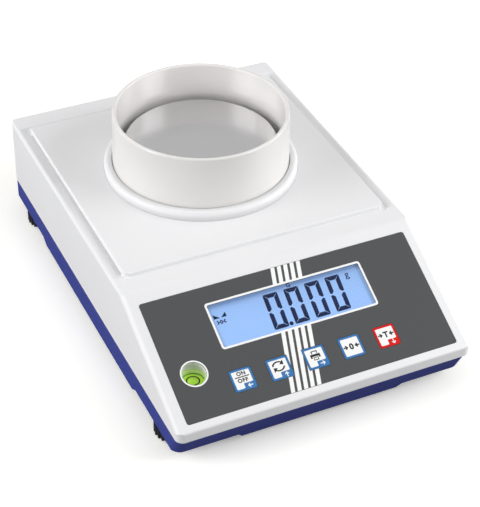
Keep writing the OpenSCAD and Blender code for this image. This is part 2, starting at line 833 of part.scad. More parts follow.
// Push switches under the keys and the cable header under the board
module key_switches() {
    body_top = switch_top - switch_cap_h;
    color("#26282B") {
        for (i = [-2:2]) {
            panel_plate(key_x + i * key_pitch, key_s, switch_size, switch_size, key_corner_r / 2,
                key_board_z, body_top);
            on_panel(key_x + i * key_pitch, key_s) translate([0, 0, body_top - skin])
                cylinder(r = switch_cap_r, h = switch_cap_h + skin);
        }
        panel_plate(ribbon_x + ribbon_w / 2, header_s, ribbon_w + header_h, header_d, key_corner_r / 2,
            key_board_z - board_t - header_h, key_board_z - board_t);
    }
}

module key_board_screws() {
    under = key_board_z - board_t;
    color("#B9BDC2") for (x = [-keyboard_screw_x, keyboard_screw_x], s = keyboard_screw_s)
        on_panel(x, s) {
            translate([0, 0, under - board_head_h]) cylinder(r = board_head_r, h = board_head_h);
            translate([0, 0, under - skin]) cylinder(r = board_screw_r, h = board_t + board_screw_bite);
        }
}

module level_vial() {
    color("#E4EFE4", 0.4) translate([level_x, level_y, vial_z]) difference() {
        cylinder(r = vial_r, h = vial_h);
        translate([0, 0, vial_wall]) cylinder(r = vial_r - vial_wall, h = vial_h - 2 * vial_wall);
    }
}

// Liquid with the round bubble under its upper face
module level_liquid() {
    liquid_h = vial_h - 2 * vial_wall - 2 * fit_gap;
    color("#9FD32F") translate([level_x, level_y, vial_z + vial_wall + fit_gap]) difference() {
        cylinder(r = vial_r - vial_wall - fit_gap, h = liquid_h);
        translate([0, 0, liquid_h + bubble_r / 2]) sphere(bubble_r);
    }
}

// Pressed pan with a turned-down rim, a hub and a plug
module weighing_pan() {
    bend_r = pan_r - pan_rim_r;
    bend_z = pan_z - pan_rim_r;
    color("#C3C4C7") translate([0, pan_y, 0]) rotate_extrude($fn = 128) {
        translate([0, pan_z - pan_sheet]) square([bend_r, pan_sheet]);
        translate([pan_r - pan_sheet, pan_z - pan_rim_h]) square([pan_sheet, pan_rim_h - pan_rim_r]);
        intersection() {
            translate([bend_r, bend_z]) circle(pan_rim_r);
            translate([bend_r, bend_z]) square(pan_rim_r);
        }
        translate([0, post_top_z]) square([pan_hub_r, pan_z - pan_sheet / 2 - post_top_z]);
        translate([0, post_top_z - pan_plug_h]) square([pan_plug_r, pan_plug_h + over]);
    }
}

// Ring with a slight taper and a round rim
module draft_shield() {
    rim = shield_wall / 2;
    color("#EDEBE9") translate([0, pan_y, platform_z]) rotate_extrude($fn = 128) {
        polygon([
            [shield_foot_r - shield_wall, 0],
            [shield_foot_r, 0],
            [shield_rim_r, shield_h - rim],
            [shield_rim_r - shield_wall, shield_h - rim]
        ]);
        translate([shield_rim_r - rim, shield_h - rim]) circle(rim);
    }
}

// Foot plate on the load cell with the post that carries the pan
module pan_carrier() {
    color("#A9ADB3") difference() {
        union() {
            translate([-cell_w / 2, carrier_front_y, cell_top_z])
                cube([cell_w, cell_rear_y - carrier_front_y, carrier_t]);
            translate([0, pan_y, cell_top_z]) cylinder(r = post_r, h = post_top_z - cell_top_z);
        }
        translate([0, pan_y, post_top_z - pan_plug_h - over]) cylinder(r = pan_plug_r + fit_gap, h = far);
        for (y = free_bolt_y) translate([0, y, cell_top_z - over])
            cylinder(r = cell_bolt_r + pass_gap, h = carrier_t + 2 * over);
    }
}

// Bending beam: one block with two joined cross bores
module load_cell() {
    mid_z = cell_z + cell_h / 2;
    color("#C9CCD0") difference() {
        translate([-cell_w / 2, cell_front_y, cell_z]) cube([cell_w, cell_l, cell_h]);
        for (end = [-1, 1]) translate([-cell_w, cell_mid_y + end * cell_bore_gap / 2, mid_z])
            rotate([0, 90, 0]) cylinder(r = cell_bore_r, h = 2 * cell_w);
        translate([-cell_w, cell_mid_y - cell_bore_gap / 2, mid_z - cell_slot_h / 2])
            cube([2 * cell_w, cell_bore_gap, cell_slot_h]);
        for (y = fixed_bolt_y) translate([0, y, cell_z - over])
            cylinder(r = cell_bolt_r + skin / 2, h = bolt_bite + 2 * over);
        for (y = free_bolt_y) translate([0, y, cell_top_z - bolt_bite - over])
            cylinder(r = cell_bolt_r + skin / 2, h = far);
    }
}

module cell_plate() {
    color("#8E9299") difference() {
        translate([-plate_w / 2, plate_y, cell_pad_z]) cube([plate_w, plate_l, plate_t]);
        for (y = fixed_bolt_y) translate([0, y, 0]) cylinder(r = cell_bolt_r + pass_gap, h = far);
    }
}

// Bolt with its head at z and its shank pointing along dir
module cell_bolt(y, z, shank, dir) {
    translate([0, y, z]) mirror([0, 0, dir < 0 ? 1 : 0]) {
        translate([0, 0, -cell_head_h]) cylinder(r = cell_head_r, h = cell_head_h);
        translate([0, 0, -skin]) cylinder(r = cell_bolt_r, h = shank);
    }
}

module cell_bolts_fixed() {
    color("#74787D") for (y = fixed_bolt_y) cell_bolt(y, fixed_seat_z, cell_z + bolt_bite - fixed_seat_z, 1);
}

module cell_bolts_free() {
    seat = cell_top_z + carrier_t;
    color("#74787D") for (y = free_bolt_y) cell_bolt(y, seat, carrier_t + bolt_bite, -1);
}

module stop_screw() {
    color("#74787D") translate([0, stop_y, tray_z])
        cylinder(r = stop_r, h = cell_z - stop_gap - tray_z);
}

module main_board() {
    color("#2F6B46") difference() {
        translate([0, (main_front_y + main_rear_y) / 2, main_z])
            linear_extrude(board_t) round_rect(main_w, main_d, board_corner_r);
        for (x = [-main_screw_x, main_screw_x], y = main_screw_y)
            translate([x, y, 0]) cylinder(r = board_screw_r + pass_gap, h = far);
    }
}

// Sockets, converter can and regulator on the main board
module board_parts() {
    color("#3A3D42") {
        translate([ribbon_x - lead_r, lead_end_y - plug_d / 2, main_top_z])
            cube([ribbon_w + 2 * lead_r, plug_d, plug_h]);
        translate([lead_x - plug_d / 2, lead_end_y - plug_d / 2, main_top_z]) cube([plug_d, plug_d, plug_h]);
        translate([can_x, main_front_y + can_d / 2, main_top_z]) cube([can_w, can_d, plug_h]);
        translate([-chip_w / 2, main_front_y + can_d, main_top_z]) cube([chip_w, chip_w, chip_h]);
    }
}

module board_screws() {
    color("#B9BDC2") for (x = [-main_screw_x, main_screw_x], y = main_screw_y) translate([x, y, 0]) {
        translate([0, 0, main_top_z]) cylinder(r = board_head_r, h = board_head_h);
        translate([0, 0, main_z - main_screw_bite])
            cylinder(r = board_screw_r, h = board_t + main_screw_bite + skin);
    }
}

// Lead from the load cell's fixed end along its side to the main board
module cell_lead() {
    end_z = main_top_z + plug_h;
    color("#4A4C50") {
        translate([cell_w / 2, lead_y, lead_z]) rotate([0, 90, 0])
            cylinder(r = lead_r, h = lead_x - lead_bend - cell_w / 2);
        translate([lead_x - lead_bend, lead_y + lead_bend, lead_z]) rotate([0, 0, -90])
            rotate_extrude(angle = 90) translate([lead_bend, 0]) circle(lead_r);
        translate([lead_x, lead_y + lead_bend, lead_z]) rotate([-90, 0, 0])
            cylinder(r = lead_r, h = lead_end_y - lead_y - 2 * lead_bend);
        translate([lead_x, lead_end_y - lead_bend, lead_z - lead_bend]) rotate([90, 0, 90])
            rotate_extrude(angle = 90) translate([lead_bend, 0]) circle(lead_r);
        translate([lead_x, lead_end_y, end_z]) cylinder(r = lead_r, h = lead_z - lead_bend - end_z);
    }
}

// Left normal of the path's piece i, held at its ends
function side_of(path, i) =
    let(k = min(max(i, 0), len(path) - 2), d = path[k + 1] - path[k]) [-d[1], d[0]] / norm(d);

// Point beside corner i of a path, at the distance that keeps both pieces equally wide
function beside(path, i, width) =
    let(a = side_of(path, i - 1), b = side_of(path, i)) path[i] + width * (a + b) / (1 + a * b);

// Flat cable from the key board's header to the main board
module panel_ribbon() {
    depth = key_board_z - board_t - header_h;
    start = [
        ridge_y - header_s * panel_cos - depth * panel_sin,
        top_z - header_s * panel_sin + depth * panel_cos
    ];
    inward = [panel_sin, -panel_cos];
    path = [
        start,
        start + lead_bend * inward,
        [ribbon_rest_y, cell_top_z],
        [lead_end_y - plug_d, cell_top_z],
        [lead_end_y, cell_top_z - plug_d],
        [lead_end_y, main_top_z + plug_h]
    ];
    last = len(path) - 1;
    color("#B8BBC0") translate([ribbon_x + ribbon_w / 2, 0, 0]) along_x(ribbon_w) polygon(concat(
        [for (i = [0:last]) beside(path, i, ribbon_t / 2)],
        [for (i = [last:-1:0]) beside(path, i, -ribbon_t / 2)]
    ));
}

// Barrel socket: block on the board with a nose through the rear wall
module power_jack() {
    color("#1E1F21") difference() {
        union() {
            translate([jack_x - jack_half, socket_back_y - jack_block_d, main_top_z])
                cube([2 * jack_half, jack_block_d, jack_z + jack_half - main_top_z]);
            translate([jack_x, socket_back_y - over, jack_z]) rotate([-90, 0, 0])
                cylinder(r = jack_r, h = socket_face_y - socket_back_y + over);
        }
        translate([jack_x, socket_face_y - jack_bore_d, jack_z]) rotate([-90, 0, 0])
            cylinder(r = jack_bore_r, h = far);
    }
}

module jack_pin() {
    color("#C9B26A") translate([jack_x, socket_face_y - jack_bore_d, jack_z]) rotate([-90, 0, 0])
        cylinder(r = jack_pin_r, h = jack_pin_l);
}

// D-shaped bar along Y, grown by grow on every side
module data_bar(from_y, to_y, grow) {
    half_w = data_w / 2 + grow;
    half_h = data_h / 2 + grow;
    flare = 2 * half_h * tan(10);
    translate([data_x, 0, data_z]) along_y(from_y, to_y) polygon([
        [-half_w, half_h], [half_w, half_h], [half_w - flare, -half_h], [-half_w + flare, -half_h]
    ]);
}

// Steel shell of the data socket with its flange behind the rear wall
module data_shell() {
    color("#B4B7BB") difference() {
        union() {
            translate([data_x - data_flange_w / 2, data_flange_y - data_flange_t, data_z - data_flange_h / 2])
                cube([data_flange_w, data_flange_t, data_flange_h]);
            data_bar(data_flange_y - data_flange_t / 2, socket_face_y, data_shell_t);
        }
        data_bar(0, far, 0);
        for (side = [-1, 1]) translate([data_x + side * data_nut_x, 0, data_z]) rotate([-90, 0, 0])
            cylinder(r = data_stud_r + pass_gap, h = far);
    }
}

// Plastic core of the data socket with nine contact holes, on its board block
module data_insert() {
    back = data_flange_y - data_flange_t;
    top = data_z + data_flange_h / 2;
    // The block steps back below this height, clear of the tray's tongue
    shelf = seam_z + tongue_h + flush_gap;
    color("#202225") difference() {
        union() {
            data_bar(back - over, socket_face_y - data_shell_t, -fit_gap);
            translate([data_x - data_block_w / 2, back - data_block_d, main_top_z])
                cube([data_block_w, socket_back_y - back + data_block_d, top - main_top_z]);
            translate([data_x - data_block_w / 2, back - data_block_d, shelf])
                cube([data_block_w, data_block_d, top - shelf]);
        }
        for (row = [0, 1], i = [0:4 - row])
            translate([data_x + (i - 2 + row / 2) * data_pitch, socket_face_y - data_hole_d,
                data_z + (1 - 2 * row) * data_row])
                rotate([-90, 0, 0]) cylinder(r = data_hole_r, h = far);
    }
}

// Hexagon nuts at both ends of the data socket, with their studs in the flange
module data_nuts() {
    color("#C4C7CB") for (side = [-1, 1])
        translate([data_x + side * data_nut_x, data_flange_y - data_flange_t, data_z]) rotate([90, 0, 0]) {
            cylinder(r = data_nut_r, h = data_nut_h, $fn = 6);
            translate([0, 0, -data_flange_t]) cylinder(r = data_stud_r, h = data_flange_t + skin);
        }
}

module foot_inserts() {
    color("#C6A35A") for (p = foot_places) translate([p[0], p[1], insert_z]) difference() {
        cylinder(r = insert_r, h = foot_boss_top_z - insert_z);
        translate([0, 0, -over]) cylinder(r = stud_r + fit_gap, h = far);
    }
}

module housing_screws() {
    color("#B9BDC2") for (p = screw_places) translate([p[0], p[1], screw_seat_z]) {
        translate([0, 0, -screw_head_h]) cylinder(r = screw_head_r, h = screw_head_h);
        translate([0, 0, -skin]) cylinder(r = screw_r, h = seam_z + screw_reach - screw_seat_z);
    }
}

// Rubber pad that stays still on the table while its wheel turns
module foot_pad(p) {
    color("#2B2C2E") translate([p[0], p[1], 0]) cylinder(r = pad_r, h = pad_t);
}

// Ribbed wheel that the fingers turn
module foot_wheel(p) {
    core_r = wheel_r - rib_r;
    color("#191A1C") translate([p[0], p[1], pad_proud]) difference() {
        linear_extrude(wheel_h) {
            circle(core_r);
            for (i = [0:wheel_ribs - 1]) rotate(i * 360 / wheel_ribs) translate([core_r, 0]) circle(rib_r);
        }
        translate([0, 0, -over]) cylinder(r = pad_r + 2 * fit_gap, h = over + pad_t - pad_proud + fit_gap);
        cylinder(r = stud_r + fit_gap / 2, h = far);
    }
}

module foot_stud(p) {
    foot = pad_t + 2 * fit_gap;
    color("#A7ABB0") translate([p[0], p[1], foot]) cylinder(r = stud_r, h = stud_top_z - foot);
}

base_tray();
top_housing();
panel_foil();
display_window();
lcd_glass();
backlight();
key(-2, "#2F76B5");  // key_on
key(-1, "#2F76B5");  // key_cycle
key(0, "#2F76B5");  // key_print
key(1, "#2F76B5");  // key_zero
key(2, "#D8151B");  // key_tare
key_board();
key_switches();
key_board_screws();
level_vial();
level_liquid();
weighing_pan();
draft_shield();
pan_carrier();
load_cell();
cell_plate();
cell_bolts_fixed();
cell_bolts_free();
stop_screw();
main_board();
board_parts();
board_screws();
cell_lead();
panel_ribbon();
power_jack();
jack_pin();
data_shell();
data_insert();
data_nuts();
foot_inserts();
housing_screws();
foot_pad(foot_places[0]);  // foot_pad_fl
foot_pad(foot_places[1]);  // foot_pad_fr
foot_pad(foot_places[2]);  // foot_pad_rl
foot_pad(foot_places[3]);  // foot_pad_rr
foot_wheel(foot_places[0]);  // foot_wheel_fl
foot_wheel(foot_places[1]);  // foot_wheel_fr
foot_wheel(foot_places[2]);  // foot_wheel_rl
foot_wheel(foot_places[3]);  // foot_wheel_rr
foot_stud(foot_places[0]);  // foot_stud_fl
foot_stud(foot_places[1]);  // foot_stud_fr
foot_stud(foot_places[2]);  // foot_stud_rl
foot_stud(foot_places[3]);  // foot_stud_rr
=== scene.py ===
# %% [markdown]
# # A laboratory balance
#
# A low bench balance has a moulded housing on a blue tray, a sloping panel with a display and five keys,
# and a steel pan inside a ring that keeps draughts off. The CAD model holds the solids and every joint, and
# the few sizes of the panel that are needed here are repeated from it. Blender adds what the CAD can't
# show: finishes, printed symbols, the digits of the display, screw recesses and threads. The first step
# loads the CAD model.

# %% Load the CAD model
import json
import math

import bmesh
import bpy
from mathutils import Matrix, Vector


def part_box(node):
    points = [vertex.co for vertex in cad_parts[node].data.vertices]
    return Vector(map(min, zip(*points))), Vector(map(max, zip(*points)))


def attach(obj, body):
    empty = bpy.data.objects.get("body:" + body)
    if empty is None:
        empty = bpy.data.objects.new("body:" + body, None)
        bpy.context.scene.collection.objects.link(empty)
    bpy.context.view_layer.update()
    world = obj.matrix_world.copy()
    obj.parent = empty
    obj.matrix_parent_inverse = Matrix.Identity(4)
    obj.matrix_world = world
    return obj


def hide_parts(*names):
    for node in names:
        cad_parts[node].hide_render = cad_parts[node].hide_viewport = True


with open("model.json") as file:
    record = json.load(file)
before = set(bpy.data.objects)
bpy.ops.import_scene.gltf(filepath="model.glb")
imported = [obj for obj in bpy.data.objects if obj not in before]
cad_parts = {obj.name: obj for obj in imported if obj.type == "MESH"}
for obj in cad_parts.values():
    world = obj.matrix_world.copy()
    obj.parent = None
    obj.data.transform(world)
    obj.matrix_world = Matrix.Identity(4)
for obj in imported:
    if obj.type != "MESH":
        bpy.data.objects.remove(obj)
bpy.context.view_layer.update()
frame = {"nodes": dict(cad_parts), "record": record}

nodes = frame["nodes"]

# %% [markdown]
# ## Camera
#
# The photograph was taken from the front left with a long lens, so the edges hardly run together. The
# camera is turned round a point near the middle of the balance: a turn, a height, a small tilt and a
# distance are easier to understand, and to change, than a bare matrix. The matrix comes from the three axes
# at the end.

# %% Camera
mm = 0.001
look_at = Vector((2.8, -10.9, 31.0)) * mm
turn = math.radians(-25.51)
height_angle = math.radians(37.93)
tilt = math.radians(1.10)
distance = 857.4 * mm

back = Vector((
    math.sin(turn) * math.cos(height_angle),
    -math.cos(turn) * math.cos(height_angle),
    math.sin(height_angle),
))
right = (-back).cross(Vector((0, 0, 1))).normalized()
up = right.cross(-back)
tilted_right = right * math.cos(tilt) + up * math.sin(tilt)
tilted_up = up * math.cos(tilt) - right * math.sin(tilt)

camera_data = bpy.data.cameras.new("camera")
camera_data.lens = 112.62
camera_data.sensor_fit = "VERTICAL"
camera_data.sensor_height = 36
camera = bpy.data.objects.new("camera", camera_data)
axes = Matrix((tilted_right, tilted_up, back)).transposed().to_4x4()
camera.matrix_world = Matrix.Translation(look_at + back * distance) @ axes
bpy.context.scene.collection.objects.link(camera)
bpy.context.scene.camera = camera
print("camera at", tuple(round(v, 3) for v in camera.location))

# %% [markdown]
# ## Colours and nodes
#
# A hex colour from a paint card is sRGB, but shaders calculate with linear light, so one function converts
# it. A second one adds a node to any tree, sets its properties, and fills its inputs: an input that is
# given a socket is linked, and any other value is set. Materials and geometry trees below both use it.

# %% Helpers for colours and nodes
def linear(colour):
    """Turns an sRGB hex colour into the linear values that shaders read."""
    parts = [int(colour[i:i + 2], 16) / 255 for i in (1, 3, 5)]
    return [v / 12.92 if v <= 0.04045 else ((v + 0.055) / 1.055) ** 2.4 for v in parts] + [1.0]


def add(tree, kind, inputs=None, **settings):
    """Adds one node, sets its properties and fills or links its inputs, which go by name or number."""
    node = tree.nodes.new(kind)
    for name, value in settings.items():
        setattr(node, name, value)
    for name, value in (inputs or {}).items():
        if isinstance(value, bpy.types.NodeSocket):
            tree.links.new(value, node.inputs[name])
        else:
            node.inputs[name].default_value = value
    return node


def new_material(name):
    """Starts a material with an empty tree."""
    material = bpy.data.materials.new(name)
    material.use_nodes = True
    material.node_tree.nodes.clear()
    return material, material.node_tree


print("linear mid grey:", round(linear("#808080")[0], 3))

# %% [markdown]
# ## Studio
#
# The picture is a product shot on white. A soft lamp stands at the left, a second behind it, a third at the
# front right, and a low one at the right lights the side of the ring. None stands near the camera, so faces
# that look at it are the darkest. The world is dimmer as a light than as a picture: Light Path tells the
# two apart, so the background is white without burning out the housing. Overhead the picture is greyer,
# like a studio ceiling above white walls, because a steel pan only looks like metal when it has something
# darker to mirror. The floor is a large sheet that keeps the shadow under the tray. It is pale for the
# camera and greyer for the light that bounces off it, as if dark cards lay beside the balance to keep its
# lower edge deep in colour. Far from the lamps it glows more, so it stays white up to the horizon.

# %% World, lamps and floor
scene = bpy.context.scene
scene.view_settings.view_transform = "Standard"

# Heights in the sky are sines of the angle above the horizon, and distances on the floor are metres.
sky_light = 0.40
ceiling = 0.57
wall_top = 0.35
ceiling_edge = 0.60
floor_glow = 0.27
far_glow = 0.75
glow_from = 0.6
glow_to = 1.4
world = bpy.data.worlds.new("paper sky")
world.use_nodes = True
scene.world = world
sky = world.node_tree
sky.nodes.clear()
ray = add(sky, "ShaderNodeLightPath")
seen = add(sky, "ShaderNodeMath", {0: ray.outputs["Is Camera Ray"], 1: ray.outputs["Is Glossy Ray"]},
           operation="MAXIMUM")
seen = add(sky, "ShaderNodeMath", {0: seen.outputs[0], 1: ray.outputs["Is Transmission Ray"]},
           operation="MAXIMUM")
direction = add(sky, "ShaderNodeSeparateXYZ", {0: add(sky, "ShaderNodeTexCoord").outputs["Generated"]})
backdrop = add(sky, "ShaderNodeMapRange", {
    "Value": direction.outputs["Z"], "From Min": wall_top, "From Max": ceiling_edge, "To Min": 1.0,
    "To Max": ceiling,
}, interpolation_type="SMOOTHSTEP")
strength = add(sky, "ShaderNodeMix", {0: seen.outputs[0], 2: sky_light, 3: backdrop.outputs[0]})
paper = add(sky, "ShaderNodeBackground", {"Color": linear("#FFFFFF"), "Strength": strength.outputs[0]})
add(sky, "ShaderNodeOutputWorld", {"Surface": paper.outputs[0]})


def softbox(name, place, size, watts):
    """Hangs a square lamp that looks at the middle of the balance."""
    lamp = bpy.data.lights.new(name, "AREA")
    lamp.shape = "SQUARE"
    lamp.size = size
    lamp.energy = watts
    hung = bpy.data.objects.new(name, lamp)
    hung.location = place
    hung.rotation_euler = (look_at - Vector(place)).to_track_quat("-Z", "Y").to_euler()
    scene.collection.objects.link(hung)


softbox("lamp_left", (-0.95, 0.0, 0.50), 0.6, 6.3)
softbox("lamp_back", (-0.70, 0.60, 0.60), 0.6, 1.5)
softbox("lamp_front", (0.70, -0.60, 0.70), 0.6, 5.8)
softbox("lamp_low", (0.90, -0.20, 0.25), 0.4, 2.9)

paper_floor, tree = new_material("matt paper floor")
ray = add(tree, "ShaderNodeLightPath")
seen = add(tree, "ShaderNodeMath", {0: ray.outputs["Is Camera Ray"], 1: ray.outputs["Is Transmission Ray"]},
           operation="MAXIMUM")
grain = add(tree, "ShaderNodeTexNoise", {"Scale": 1 / (60 * mm)})
tone = add(tree, "ShaderNodeMix", {0: grain.outputs[0], 6: linear("#F9F8F2"), 7: linear("#FCFBF6")},
           data_type="RGBA")
tone = add(tree, "ShaderNodeMix", {0: seen.outputs[0], 6: linear("#A4A4A4"), 7: tone.outputs[2]},
           data_type="RGBA")
away = add(tree, "ShaderNodeVectorMath", {0: add(tree, "ShaderNodeTexCoord").outputs["Object"]},
           operation="LENGTH")
glow = add(tree, "ShaderNodeMapRange", {
    "Value": away.outputs["Value"], "From Min": glow_from, "From Max": glow_to, "To Min": floor_glow,
    "To Max": far_glow,
})
glow = add(tree, "ShaderNodeMath", {0: seen.outputs[0], 1: glow.outputs[0]}, operation="MULTIPLY")
sheet = add(tree, "ShaderNodeBsdfPrincipled", {
    "Base Color": tone.outputs[2], "Roughness": 0.9, "Specular IOR Level": 0.0,
    "Emission Color": linear("#FFFFFF"), "Emission Strength": glow.outputs[0],
})
add(tree, "ShaderNodeOutputMaterial", {"Surface": sheet.outputs[0]})

floor_mesh = bpy.data.meshes.new("floor")
floor_half = 6.0
corners = [(x * floor_half, y * floor_half, 0) for x, y in ((-1, -1), (1, -1), (1, 1), (-1, 1))]
floor_mesh.from_pydata(corners, [], [(0, 1, 2, 3)])
floor_mesh.materials.append(paper_floor)
floor = bpy.data.objects.new("floor", floor_mesh)
scene.collection.objects.link(floor)

# %% [markdown]
# ## Moulded plastic
#
# Housing, tray, keys, ring and foot wheels are injection moulded. The steel tool is spark eroded, which
# leaves a fine, even grain, so the surface is satin and highlights are wide. Real mouldings are also a
# little cloudy where the melt flowed. One function covers all of them: a slow noise shifts the colour by a
# few percent, and a fine noise roughens the gloss and bumps the surface. The true grain is about 0.1 mm,
# too fine to show here, so it is drawn at 0.7 mm, and it is only hundredths of a millimetre deep.

# %% Moulded plastic
cloud_size = 45 * mm
grain_size = 0.7 * mm


def moulded_plastic(name, colour, shade, roughness, grain_depth, shine=0.5):
    """Satin plastic from an eroded tool: colour clouds to shade, gloss and surface carry a fine grain."""
    material, tree = new_material(name)
    place = add(tree, "ShaderNodeTexCoord").outputs["Object"]
    flow = add(tree, "ShaderNodeTexNoise", {"Vector": place, "Scale": 1 / cloud_size, "Detail": 1.0})
    tone = add(tree, "ShaderNodeMix", {0: flow.outputs[0], 6: linear(colour), 7: linear(shade)},
               data_type="RGBA")
    grain = add(tree, "ShaderNodeTexNoise", {"Vector": place, "Scale": 1 / grain_size, "Detail": 2.0})
    gloss = add(tree, "ShaderNodeMapRange", {
        "Value": grain.outputs[0], "To Min": roughness - 0.04, "To Max": roughness + 0.04,
    })
    bump = add(tree, "ShaderNodeBump", {
        "Height": grain.outputs[0], "Strength": 0.3, "Distance": grain_depth * mm,
    })
    shader = add(tree, "ShaderNodeBsdfPrincipled", {
        "Base Color": tone.outputs[2], "Roughness": gloss.outputs[0], "Normal": bump.outputs[0], "IOR": 1.52,
        "Specular IOR Level": shine,
    })
    add(tree, "ShaderNodeOutputMaterial", {"Surface": shader.outputs[0]})
    return material


# White ABS: a soft, wide highlight and no visible grain at arm's length.
white_abs = moulded_plastic("white ABS, satin moulded", "#EFEFF0", "#EBEBED", 0.42, 0.010)
# The ring comes from a polished tool, a warmer white with a clearer shine.
white_gloss = moulded_plastic("white ABS, gloss moulded", "#ECEAE8", "#E8E6E4", 0.20, 0.003)
# Dyed ABS with a matt skin, so the pale room hardly shows in it.
blue_abs = moulded_plastic("blue ABS, matt moulded", "#3A4493", "#36408B", 0.62, 0.015, 0.15)
# Key tops, smooth like a pen barrel, and a red one with less shine.
blue_key = moulded_plastic("blue key plastic, fine moulded", "#2F76B5", "#2B70AE", 0.40, 0.006)
red_key = moulded_plastic("red key plastic, fine moulded", "#DC0F0C", "#D40D0B", 0.45, 0.006, 0.2)
# Glass-filled nylon for wheels: nearly black, dull, with a coarser skin.
black_nylon = moulded_plastic("black nylon, moulded", "#1C1D20", "#232428", 0.52, 0.030)
# Epoxy and thermoset bodies of switches, plugs and chips.
black_epoxy = moulded_plastic("black moulding compound", "#1D1E21", "#25272B", 0.60, 0.030)
# Soft rubber pads: dull, no highlight.
pad_rubber = moulded_plastic("black rubber, moulded", "#252527", "#2D2D30", 0.80, 0.040)
# Opal plate that spreads the light behind the display.
opal_plate = moulded_plastic("opal acrylic, moulded", "#F4F5F7", "#EEF1F5", 0.50, 0.010)
# Soft PVC round the load cell's lead.
grey_pvc = moulded_plastic("grey PVC, extruded", "#8D9095", "#85888D", 0.55, 0.010)
print("materials so far:", len(bpy.data.materials))

# %% [markdown]
# ## Shaded creases
#
# Narrow places swallow light: the slit between the ring and the pan, the creases of the collar round the
# ring's foot, and the corner of the gutters at the platform's sides. White plastic bounces so much light
# that such lines almost vanish in a render. An Ambient Occlusion node looks a few millimetres around each
# point and finds them, and a mask says where it may act. The ring is masked by the direction of its normal,
# so only the side that looks at its axis gets darker. The collar is masked by its distance from that axis,
# and the gutters by their place, which starts just inside the platform's edge and stops short of the
# gutters in front and behind. Part of the shade is enough there.

# %% Shaded creases
def shade_creases(tree, mask, reach):
    """Darkens a material's creases as far as mask allows; reach is how far to look, in millimetres."""
    shader = tree.nodes["Principled BSDF"]
    tone = shader.inputs["Base Color"].links[0].from_socket
    crease = add(tree, "ShaderNodeAmbientOcclusion", {"Color": tone, "Distance": reach * mm})
    tone = add(tree, "ShaderNodeMix", {0: mask, 6: tone, 7: crease.outputs[0]}, data_type="RGBA")
    tree.links.new(tone.outputs[2], shader.inputs["Base Color"])


ring_low, ring_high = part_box("draft_shield")
ring_middle = (ring_low + ring_high) / 2
tree = white_gloss.node_tree
where = add(tree, "ShaderNodeTexCoord")
from_axis = add(tree, "ShaderNodeVectorMath", {0: where.outputs["Object"], 1: ring_middle},
                operation="SUBTRACT")
facing = add(tree, "ShaderNodeVectorMath", {0: from_axis.outputs[0], 1: where.outputs["Normal"]},
             operation="DOT_PRODUCT")
inner = add(tree, "ShaderNodeMath", {0: facing.outputs["Value"], 1: 0.0}, operation="LESS_THAN")
shade_creases(tree, inner.outputs[0], reach=4.7)

collar_width = 4.8 * mm
collar_share = 0.5
collar_edge = (ring_high.x - ring_low.x) / 2 + collar_width
tree = white_abs.node_tree
where = add(tree, "ShaderNodeTexCoord")
from_axis = add(tree, "ShaderNodeVectorMath", {0: where.outputs["Object"], 1: ring_middle},
                operation="SUBTRACT")
from_axis = add(tree, "ShaderNodeVectorMath", {0: from_axis.outputs[0], 1: (1, 1, 0)}, operation="MULTIPLY")
from_axis = add(tree, "ShaderNodeVectorMath", {0: from_axis.outputs[0]}, operation="LENGTH")
bead = add(tree, "ShaderNodeMath", {0: from_axis.outputs["Value"], 1: collar_edge}, operation="LESS_THAN")
bead = add(tree, "ShaderNodeMath", {0: bead.outputs[0], 1: collar_share}, operation="MULTIPLY")
shade_creases(tree, bead.outputs[0], reach=4.0)

gutter_inset = 9.5 * mm
gutter_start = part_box("top_housing")[1].x - gutter_inset
gutter_mid = 34.2 * mm
gutter_half = 68.5 * mm
gutter_share = 0.65
side = add(tree, "ShaderNodeSeparateXYZ", {0: where.outputs["Object"]})
aside = add(tree, "ShaderNodeMath", {0: side.outputs["X"]}, operation="ABSOLUTE")
aside = add(tree, "ShaderNodeMath", {0: aside.outputs[0], 1: gutter_start}, operation="GREATER_THAN")
along = add(tree, "ShaderNodeMath", {0: side.outputs["Y"], 1: gutter_mid, 2: gutter_half},
            operation="COMPARE")
gutter = add(tree, "ShaderNodeMath", {0: aside.outputs[0], 1: along.outputs[0]}, operation="MULTIPLY")
gutter = add(tree, "ShaderNodeMath", {0: gutter.outputs[0], 1: gutter_share}, operation="MULTIPLY")
shade_creases(tree, gutter.outputs[0], reach=1.5)
print("creases shaded in:", white_gloss.name, "/", white_abs.name)

# %% [markdown]
# ## Bare metals
#
# The pan is stainless sheet with a satin belt finish: fine lines all one way that stretch each highlight.
# The load cell is milled aluminium, the inserts are turned brass, and screws are zinc plated. All are the
# same idea with another direction and spacing: a noise stretched along the tool's path changes the gloss
# and tilts the surface. The real lines are a few hundredths of a millimetre apart, so they are drawn
# coarser.

